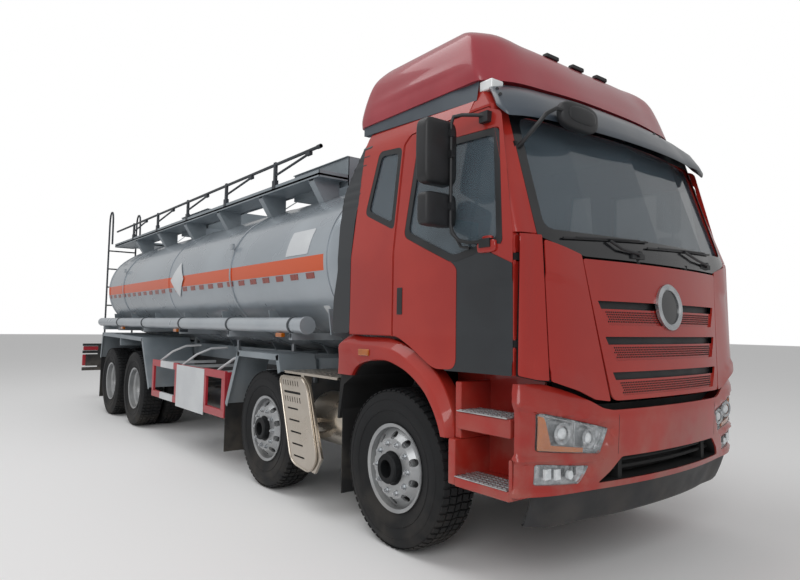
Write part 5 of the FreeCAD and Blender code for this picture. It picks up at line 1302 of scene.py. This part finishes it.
def growBars(name, spots, aims, size, finish, body):
    if not barTrees:
        barTrees.append(barTree())
    return grow(name, pointCloud(spots, aims), barTrees[0], {"Size": size, "Material": finishes[finish]}, body, None)


archLines = (            # wheel arch edge, lower and upper edge of the sloping band above it: (x, z) at eleven stations
    ((3.781, 1.140), (3.812, 1.180), (3.862, 1.218), (3.974, 1.253), (4.130, 1.268), (4.244, 1.262), (4.428, 1.207),
     (4.585, 1.112), (4.675, 1.016), (4.734, 0.920), (4.766, 0.840)),
    ((3.606, 1.140), (3.612, 1.262), (3.627, 1.372), (3.893, 1.370), (4.172, 1.358), (4.327, 1.328), (4.522, 1.233),
     (4.666, 1.128), (4.746, 1.024), (4.789, 0.937), (4.815, 0.840)),
    ((3.598, 1.140), (3.604, 1.278), (3.671, 1.428), (3.897, 1.427), (4.192, 1.421), (4.411, 1.366), (4.563, 1.292),
     (4.698, 1.194), (4.784, 1.079), (4.830, 0.973), (4.846, 0.840)))


def smoothLine(line, count):
    return [tuple(row) for row in smoothLevels([tuple(p) for p in line], count)]


def makeFenders():
    arch, low, high = (smoothLine(line, 5) for line in archLines)
    shape, markers, liner = Shape(), Shape(), Shape()
    for side in (1, -1):
        y = lambda value: side * value
        rows = []
        for (ax, az), (bx, bz), (cx, cz) in zip(arch, low, high):
            middle = lambda u, p, q: p + (q - p) * u
            rows.append([(ax, y(1.195), az), (ax, y(1.242), az), (middle(0.06, ax, bx), y(1.249), middle(0.06, az, bz)),
                         (middle(0.92, ax, bx), y(1.2495), middle(0.92, az, bz)), (bx, y(1.247), bz),
                         (middle(0.08, bx, cx), y(1.243), middle(0.08, bz, cz)), (middle(0.94, bx, cx), y(1.204), middle(0.94, bz, cz)),
                         (cx, y(1.196), cz), (middle(1.02, bx, cx), y(1.180), middle(1.0, bz, cz) - 0.004), (cx, y(1.10), cz - 0.012)])
        shape.strip(rows)
        shape.add(rows[0] + [(3.70, y(1.15), 1.140)], [(i, i + 1, len(rows[0])) for i in range(len(rows[0]) - 1)])
        shape.add([rows[-1][0], rows[-1][1], rows[-1][4], rows[-1][7], rows[-1][9]], [(0, 1, 2), (0, 2, 3), (0, 3, 4)])
        liner.strip([[(ax, y(1.215), az), (ax, y(0.52), az)] for ax, az in arch])
        liner.strip([[(3.781, y(1.215), 1.141), (3.781, y(0.52), 1.141)], [(3.64, y(1.215), 1.06), (3.64, y(0.52), 1.06)],
                     [(3.585, y(1.215), 0.80), (3.585, y(0.60), 0.80)]])
        for value in (1.215,):
            liner.add([(3.781, y(value), 1.141), (3.64, y(value), 1.06), (3.585, y(value), 0.80), (3.560, y(value), 0.80),
                       (3.60, y(value), 1.141)], [(0, 1, 2, 3, 4)])
        markers.box((3.885, min(y(1.244), y(1.262)), 1.292), (4.010, max(y(1.244), y(1.262)), 1.340))
    piece = shape.piece("wheelArches", "cabRed", "chassis", "cab_paint", 28)
    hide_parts("fenders")
    liner.piece("archLiners", "deepBlack", "chassis", "black_plastic", 50)
    roundEdges(markers.piece("archMarkers", "amber", "chassis", "lamp_glass"), 0.008, 3)
    print("wheel arches made")


def makeSteps():
    plates, spots = Shape(), []
    boxes = Shape()
    for side in (1, -1):
        def block(x, X, y, Y, z, Z):
            low, high = sorted((side * y, side * Y))
            boxes.box((x, low, z), (X, high, Z))
        block(4.850, 5.330, 0.930, 0.948, 0.585, 1.238)      # back
        block(4.600, 4.860, 0.930, 0.948, 1.090, 1.238)
        block(4.905, 5.318, 0.945, 1.238, 0.905, 1.009)      # upper tread
        block(4.893, 5.318, 0.945, 1.246, 0.570, 0.624)      # lower tread
        block(4.836, 4.895, 0.930, 1.246, 0.575, 0.842)      # rear wall, low and high
        block(4.852, 4.902, 0.930, 1.205, 0.842, 1.180)
        block(5.308, 5.332, 0.945, 1.242, 0.575, 0.795)
        block(5.312, 5.332, 0.945, 1.205, 0.780, 1.150)
        block(5.04, 5.10, 0.43, 0.93, 0.88, 0.95)
    piece = boxes.piece("stepBoxes", "cabRed", "chassis", "cab_paint")
    roundEdges(piece, 0.012, 3)
    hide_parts("steps")
    for side in (1, -1):
        for z, lowX, lowY in ((1.010, 4.905, 1.045), (0.625, 4.875, 1.045)):
            ends = sorted((side * lowY, side * 1.244))
            plates.box((lowX, ends[0], z), (5.300, ends[1], z + 0.006))
            for i in range(int((5.285 - lowX) / 0.034)):
                for k in range(5):
                    x = lowX + 0.022 + i * 0.034 + (0.017 if k % 2 else 0.0)
                    if x < 5.285:
                        spots.append((x, side * (lowY + 0.022 + k * 0.039), z + 0.0075))
    plates.piece("stepPlates", "treadSteel", "chassis", "stainless")
    growBars("stepBars", spots, [(0, 0, 1)] * len(spots), (0.024, 0.012, 0.006), "steelBright", "chassis")
    print("steps made")


# Tank trim: bands, reflectors, blank plates, straps of the hose tubes.
tankTrim = {"bands": (1.39, -2.83), "bandWidth": 0.034, "proud": 0.007, "reflectorStep": 0.279, "reflectorZ": 1.922,
            "straps": (2.785, 1.439, -0.036, -1.593, -2.948), "tube": (1.182, 1.500, 0.068)}


def tankPoint(x, y, z, proud=0.0):                 # the nearest point of the barrel, moved outward
    item = nodes["tank"]
    back = item.matrix_world.inverted()
    found, place, normal, _ = item.closest_point_on_mesh(back @ Vector((x, y, z)))
    return item.matrix_world @ place + proud * normal, normal


def tankSide(x, side, z, proud=0.0):               # the barrel's face met by a level line from the side
    item = nodes["tank"]
    back = item.matrix_world.inverted()
    found, place, normal, _ = item.ray_cast(back @ Vector((x, side * 3.0, z)), Vector((0, -side, 0)))
    return item.matrix_world @ place + proud * normal, normal


def makeTankTrim():
    bands = Shape()
    for x in tankTrim["bands"]:
        half, proud = tankTrim["bandWidth"] / 2, tankTrim["proud"]
        loops = []
        for i in range(97):
            angle = math.tau * i / 96
            out, _ = tankPoint(x, 3.2 * math.cos(angle), 2.0 + 3.2 * math.sin(angle), 0)
            away = Vector((0, out.y, out.z - 2.0)).normalized()
            rows = ((-half, -0.002), (-half, proud * 0.6), (-half * 0.5, proud), (half * 0.5, proud), (half, proud * 0.6), (half, -0.002))
            loops.append([tuple(Vector((x + a, out.y, out.z)) + b * away) for a, b in rows])
        bands.strip(loops)
        for side in (1, -1):
            at, _ = tankPoint(x, side * 1.6, 2.32)
            bands.box((x - 0.03, at.y - 0.012, 2.29), (x + 0.03, at.y + 0.012, 2.35))
    bands.piece("tankBands", "tankAluminium", "chassis", "tank_aluminium", 40)
    spots, aims = [], []
    for side in (1, -1):
        for i in range(25):
            at, aim = tankSide(3.045 - i * tankTrim["reflectorStep"], side, tankTrim["reflectorZ"], 0.001)
            spots.append(at)
            aims.append(aim)
    growBars("tankReflectors", spots, aims, (0.135, 0.052, 0.004), "reflectorRed", "chassis")
    for side, name in ((1, "Left"), (-1, "Right")):
        for kind, outline in (("Label", [(2.655, 2.332), (3.045, 2.332), (3.010, 2.112), (2.615, 2.112)]),
                              ("Diamond", [(-0.215, 2.262), (-0.03, 2.050), (-0.215, 1.830), (-0.50, 2.050)]),
                              ("Tag", [(3.09, 1.67), (3.18, 1.67), (3.18, 1.57), (3.09, 1.57)])):
            panel("blank" + kind + name, [rounded(outline, 0.012, 3)],
                  lambda x, z, inset: tankSide(x, side, z, (0.014 if x < 1 else 0.005) - inset)[0], "blankWhite", "chassis",
                  0.06, 0.004, 0)
    straps, markers = Shape(), Shape()
    y, z, radius = tankTrim["tube"]
    for side in (1, -1):
        for x in tankTrim["straps"]:
            rows = [(radius + 0.0005, -0.014), (radius + 0.007, -0.014), (radius + 0.007, 0.014), (radius + 0.0005, 0.014)]
            loops = []
            for i in range(33):
                angle = math.tau * i / 32
                loops.append([(x + b, side * (y + a * math.cos(angle)), z + a * math.sin(angle)) for a, b in rows])
            straps.strip(loops, True)
            straps.box((x - 0.022, side * y - 0.05, z - radius - 0.040), (x + 0.022, side * y + 0.05, z - radius - 0.004))
            for step in (-0.034, 0.034):
                straps.rod((x, side * y + step, z - radius - 0.055), (x, side * y + step, z - radius - 0.002), 0.009, 8)
        for x in (2.58, -0.20, -2.70):
            markers.box((x - 0.055, min(side * 1.19, side * 1.235), 1.392), (x + 0.055, max(side * 1.19, side * 1.235), 1.432))
    straps.piece("tubeStraps", "railDark", "chassis", "black_plastic", 30)
    roundEdges(markers.piece("sideMarkers", "amber", "chassis", "lamp_glass"), 0.008, 3)
    print("tank trim made")


# Walkway, its trays, the ladder and the hand rails.
walkSizes = {"outer": 0.900, "inner": 0.570, "top": 2.945, "rear": -4.76, "front": 2.66, "rail": 3.190, "railY": 0.885,
             "posts": (1.735, 0.435, -0.910, -2.250, -3.580), "brackets": (2.50, 1.40, 0.20, -1.0, -2.2, -3.4)}


def makeWalkway():
    w = walkSizes
    deck = Shape()
    for side in (1, -1):
        span = lambda a, b: sorted((side * a, side * b))
        low, high = span(w["inner"], w["outer"])
        deck.box((w["rear"], low, 2.912), (w["front"], high, 2.932))
        for a, b in ((w["outer"] - 0.006, w["outer"]), (w["inner"], w["inner"] + 0.006)):
            low, high = span(a, b)
            deck.box((w["rear"], low, 2.898), (w["front"], high, 2.962))
        for x in (w["rear"], w["front"] - 0.006):
            low, high = span(w["inner"], w["outer"])
            deck.box((x, low, 2.898), (x + 0.006, high, 2.962))
        for x in w["brackets"]:
            for shift in (-0.045, 0.045):
                foot = [tankPoint(x, side * y, 2.6, 0.0)[0].z for y in (0.60, 0.70)]
                line = [(w["outer"] - 0.012, 2.912), (w["outer"] - 0.012, 2.875), (0.72, 2.62), (0.60, 2.66), (0.60, 2.912)]
                line = [(a, max(b, 2.60)) for a, b in line]
                flat = [(x + shift - 0.003, side * a, b) for a, b in line]
                deck.add(flat + [(x + shift + 0.003, b, c) for _, b, c in flat],
                         [(0, 1, 2, 3, 4), (9, 8, 7, 6, 5)] + [(i, (i + 1) % 5, 5 + (i + 1) % 5, 5 + i) for i in range(5)])
            deck.strip([[(x - 0.048, side * a, b), (x + 0.048, side * a, b)] for a, b in
                        ((w["outer"] - 0.012, 2.875), (0.72, 2.617), (0.60, 2.657), (0.605, 2.662), (0.722, 2.623), (w["outer"] - 0.012, 2.882))])
    deck.box((w["rear"], -w["inner"], 2.912), (-4.0, w["inner"], 2.932))
    deck.box((-4.006, -w["inner"], 2.898), (-4.0, w["inner"], 2.962))
    for x in (2.372, -1.528):                      # open trays round the manholes
        a, b, half, top = x - 0.80, x + 0.285, 0.566, 3.150
        if x < 0:
            a, b = x - 0.55, x + 0.55
        for y in (-half, half - 0.006):
            deck.box((a, y, 2.86), (b, y + 0.006, top))
            deck.box((a, y - (0.018 if y < 0 else 0.0), top - 0.006), (b, y + (0.006 if y < 0 else 0.024), top))
        for end in (a, b - 0.006):
            deck.box((end, -half, 2.86), (end + 0.006, half, top))
    piece = deck.piece("walkwayDeck", "greyPaint", "chassis", "grey_paint")
    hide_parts("walkway")
    spots = []
    for side in (1, -1):
        for i in range(int(7.36 / 0.06)):
            spots.append((w["rear"] + 0.05 + i * 0.06, side * 0.735, 2.9375))
    growBars("walkwayBars", spots, [(0, 0, 1)] * len(spots), (0.010, 0.312, 0.016), "greyPaint", "chassis")
    spots = [(-4.73 + i * 0.06, 0.0, 2.9375) for i in range(12)]
    growBars("platformBars", spots, [(0, 0, 1)] * len(spots), (0.010, 1.12, 0.016), "greyPaint", "chassis")
    ladder = Shape()
    for y in (-1.000, -0.520):
        ladder.pipe([(-4.800, y, 0.70), (-4.800, y, 2.0), (-4.800, y, 3.30), (-4.792, y, 3.42), (-4.760, y, 3.50), (-4.700, y, 3.540),
                     (-4.640, y, 3.535), (-4.590, y, 3.49), (-4.565, y, 3.40), (-4.555, y, 3.20), (-4.550, y, 2.93)], 0.016, 8)
    for i in range(7):
        ladder.rod((-4.800, -1.000, 0.790 + 0.34 * i), (-4.800, -0.520, 0.790 + 0.34 * i), 0.013, 8)
    ladder.box((-4.83, -1.02, 0.69), (-4.77, -0.50, 0.73))
    ladder.box((-4.83, -0.56, 0.78), (-4.77, -0.43, 0.84))
    for z in (1.45, 2.20):
        ladder.box((-4.80, -0.535, z), (-4.50, -0.505, z + 0.03))
    ladder.piece("rearLadder", "railDark", "chassis", "grey_paint", 40)
    rails = Shape()
    for side in (1, -1):
        y = side * w["railY"]
        rails.pipe([(-4.70, y, w["rail"]), (0, y, w["rail"]), (2.66, y, w["rail"])], 0.0165, 10)
        rails.rod((2.60, y, w["rail"]), (2.66, y, w["rail"]), 0.021, 10)
    piece = rails.piece("handRails", "railDark", "chassis", "grey_paint", 40)
    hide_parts("guard_rail")
    posts = Shape()
    for side in (1, -1):
        y = side * w["railY"]
        for x in w["posts"]:
            posts.box((x - 0.022, y - 0.014, 2.93), (x + 0.022, y + 0.014, w["rail"] + 0.024))
            posts.box((x - 0.035, y - 0.020, 2.93), (x + 0.035, y + 0.020, 3.02))
            posts.rod((x + 0.02, y, 3.075), (x + 0.70, y, w["rail"] - 0.030), 0.0125, 8)
            posts.box((x + 0.66, y - 0.018, w["rail"] - 0.045), (x + 0.74, y + 0.018, w["rail"] - 0.012))
    posts.piece("railPosts", "railDark", "chassis", "grey_paint", 40)
    print("walkway made")


# Side guards with blank plates, slotted cover, lips of the mudguards, deflectors behind the cab.
def makeGuards():
    red, white, plain = Shape(), Shape(), Shape()
    for side in (1, -1):
        def bar(shape, x, X, z, Z, y=1.215, Y=1.245):
            low, high = sorted((side * y, side * Y))
            shape.box((x, low, z), (X, high, Z))
        for z, Z in ((0.930, 1.012), (0.530, 0.610)):
            for x, X, shape in ((-1.0, -0.66, red), (-0.66, -0.16, white), (-0.16, 0.0, red), (0.86, 1.45, red)):
                bar(shape, x, X, z, Z)
            bar(red, -1.0, 1.45, z + 0.01, Z - 0.01, 1.205, 1.214)
        bar(red, -1.0, -0.93, 0.61, 0.93)
        bar(red, 1.36, 1.45, 0.61, 0.93)
        bar(red, 0.86, 0.93, 0.61, 0.93)
        bar(red, -0.10, -0.03, 0.61, 0.93)
        bar(red, 1.41, 1.45, 0.54, 1.00, 1.10, 1.216)
        bar(plain, -0.02, 0.88, 0.500, 1.000, 1.2455, 1.2495)
        for x in (-0.85, 0.02, 1.10):
            plain_low = (x, side * 1.20, 0.985)
            white.pipe([plain_low, (x + 0.22, side * 1.10, 1.13), (x + 0.36, side * 0.98, 1.205), (x + 0.42, side * 0.80, 1.215)],
                       0.014, 8)
            low, high = sorted((side * 0.43, side * 1.206))
            plain.box((x - 0.02, low, 0.955), (x + 0.02, high, 0.990))
    roundEdges(red.piece("sideGuardRed", "guardRed", "chassis", "guard_paint"), 0.008, 2)
    piece = plain.piece("sideGuardPlate", "blankWhite", "chassis", "guard_paint")
    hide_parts("side_guards")
    white.piece("sideGuardWhite", "blankWhite", "chassis", "guard_paint", 30)

    cover = rounded([(2.625, 1.062), (3.045, 1.070), (3.130, 0.990), (3.320, 0.430), (3.200, 0.310), (2.880, 0.345)],
                    [0.08, 0.09, 0.10, 0.10, 0.10, 0.10], 6)
    slots = []
    lean = lambda x, z: (x + (1.03 - z) * 0.34, z)
    for row, low, high in ((0, 0.985, 1.028), (1, 0.850, 0.895)):
        for i in range(7):
            x = 2.700 + i * 0.042
            slots.append([lean(x, low), lean(x + 0.013, low), lean(x + 0.013, high), lean(x, high)])
    slots.append(rounded([lean(2.70, 0.920), lean(2.985, 0.920), lean(2.985, 0.940), lean(2.70, 0.940)], 0.008, 2))
    for k in range(5):
        z = 0.790 - 0.095 * k
        slots.append(rounded([lean(2.725, z), lean(2.905, z), lean(2.905, z + 0.014), lean(2.725, z + 0.014)], 0.006, 2))
    def flat(x, z, inset):
        return Vector((x, -1.237 + inset, z))
    panel("exhaustCover", [cover] + slots, flat, "stainless", "chassis", 0.04, 0.007, 0.002, 30)
    panel("exhaustShade", [widened(cover, -0.03)], lambda x, z, inset: Vector((x, -1.2285 + inset, z)), "deepBlack", "chassis",
          0.08, 0.002, 0)
    rim = Shape()
    loop = [tuple(flat(x, z, 0.0)) for x, z in widened(cover, -0.012)]
    rim.pipe([Vector(p) - Vector((0, 0.002, 0)) for p in loop + loop[:1]], 0.006, 6)
    rim.piece("exhaustRim", "stainless", "chassis", "stainless", 40)
    deckHoles = []
    for i in range(9):
        for k in range(3):
            x, y = 2.76 + i * 0.088 + (0.044 if k % 2 else 0), -1.17 + k * 0.07
            deckHoles.append(rounded([(x - 0.026, y - 0.010), (x + 0.026, y - 0.010), (x + 0.026, y + 0.010), (x - 0.026, y + 0.010)], 0.009, 2))
    panel("exhaustDeck", [[(2.70, -1.232), (3.58, -1.232), (3.58, -0.60), (2.70, -0.60)]] + deckHoles,
          lambda x, y, inset: Vector((x, y, 1.106 - inset)), "stainless", "chassis", 0.10, 0.005, 0.001, 30)

    lips = Shape()
    rows = ([(1.490, 0.690), (1.750, 1.236), (2.620, 1.236), (2.670, 1.092)],
            [(-1.106, 0.627), (-1.518, 1.286), (-2.675, 1.304), (-3.833, 1.316), (-3.929, 0.901)])
    for side in (1, -1):
        for row in rows:
            middle = Vector((sum(p[0] for p in row) / len(row), 0.6))
            for (x, z), (X, Z) in zip(row, row[1:]):
                run = Vector((X - x, Z - z)).normalized()
                drop = Vector((run.y, -run.x))
                if drop.dot(middle - Vector((x, z))) < 0:
                    drop = -drop
                drop = drop * 0.050
                a, b = Vector((x, z)) - run * 0.004, Vector((X, Z)) + run * 0.004
                for y, Y in ((1.2425, 1.2485),):
                    corners = [(a.x, a.y), (b.x, b.y), (b.x + drop.x, b.y + drop.y), (a.x + drop.x, a.y + drop.y)]
                    lips.add([(p, side * y, q) for p, q in corners] + [(p, side * Y, q) for p, q in corners],
                             [(0, 1, 2, 3), (7, 6, 5, 4), (0, 4, 5, 1), (1, 5, 6, 2), (2, 6, 7, 3), (3, 7, 4, 0)])
    lips.piece("mudguardLips", "greyPaint", "chassis", "grey_paint")

    for side, name in ((1, "Left"), (-1, "Right")):
        outline = [(3.800, 2.985), (3.760, 2.880), (3.640, 2.700), (3.548, 2.535), (3.530, 2.279), (3.560, 1.934), (3.507, 1.700),
                   (3.502, 1.450), (3.735, 1.450), (3.735, 2.30), (3.80, 2.62), (3.90, 2.985)]
        ribs = lambda x, z: (0.005 if z > 2.30 and (z * 14) % 1 < 0.22 else 0.0)
        panel("deflector" + name, [rounded(outline, 0.03)], onSide(side, 0.0, ribs), "matteDark", "cab",
              0.022, 0.020, 0.003, 30)
    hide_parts("side_deflectors")
    tail = Shape()
    for side in (1, -1):
        for y, Y, z, Z in ((0.78, 1.20, 0.655, 0.865), (0.86, 1.19, 0.945, 1.025)):
            low, high = sorted((side * y, side * Y))
            tail.box((-5.5995, low, z), (-5.555, high, Z))
    roundEdges(tail.piece("tailLamps", "guardRed", "chassis", "lamp_glass"), 0.010, 3)
    plate = Shape().box((-5.598, -0.26, 0.66), (-5.590, 0.26, 0.84))
    for y in (-0.22, 0.22):
        plate.box((-5.592, y - 0.02, 0.64), (-5.580, y + 0.02, 0.86))
    roundEdges(plate.piece("tailPlate", "blankWhite", "chassis", "guard_paint"), 0.004, 2)
    print("guards made")


setCamera()
makeFinishes()
finishNodes()
setStage()
makeTyres()
makeWheelNuts()
makeNose()
makeFairing()
makeDoors()
makeScreen()
makeMirrors()
makeBumper()
makeFenders()
makeSteps()
makeTankTrim()
makeWalkway()
makeGuards()
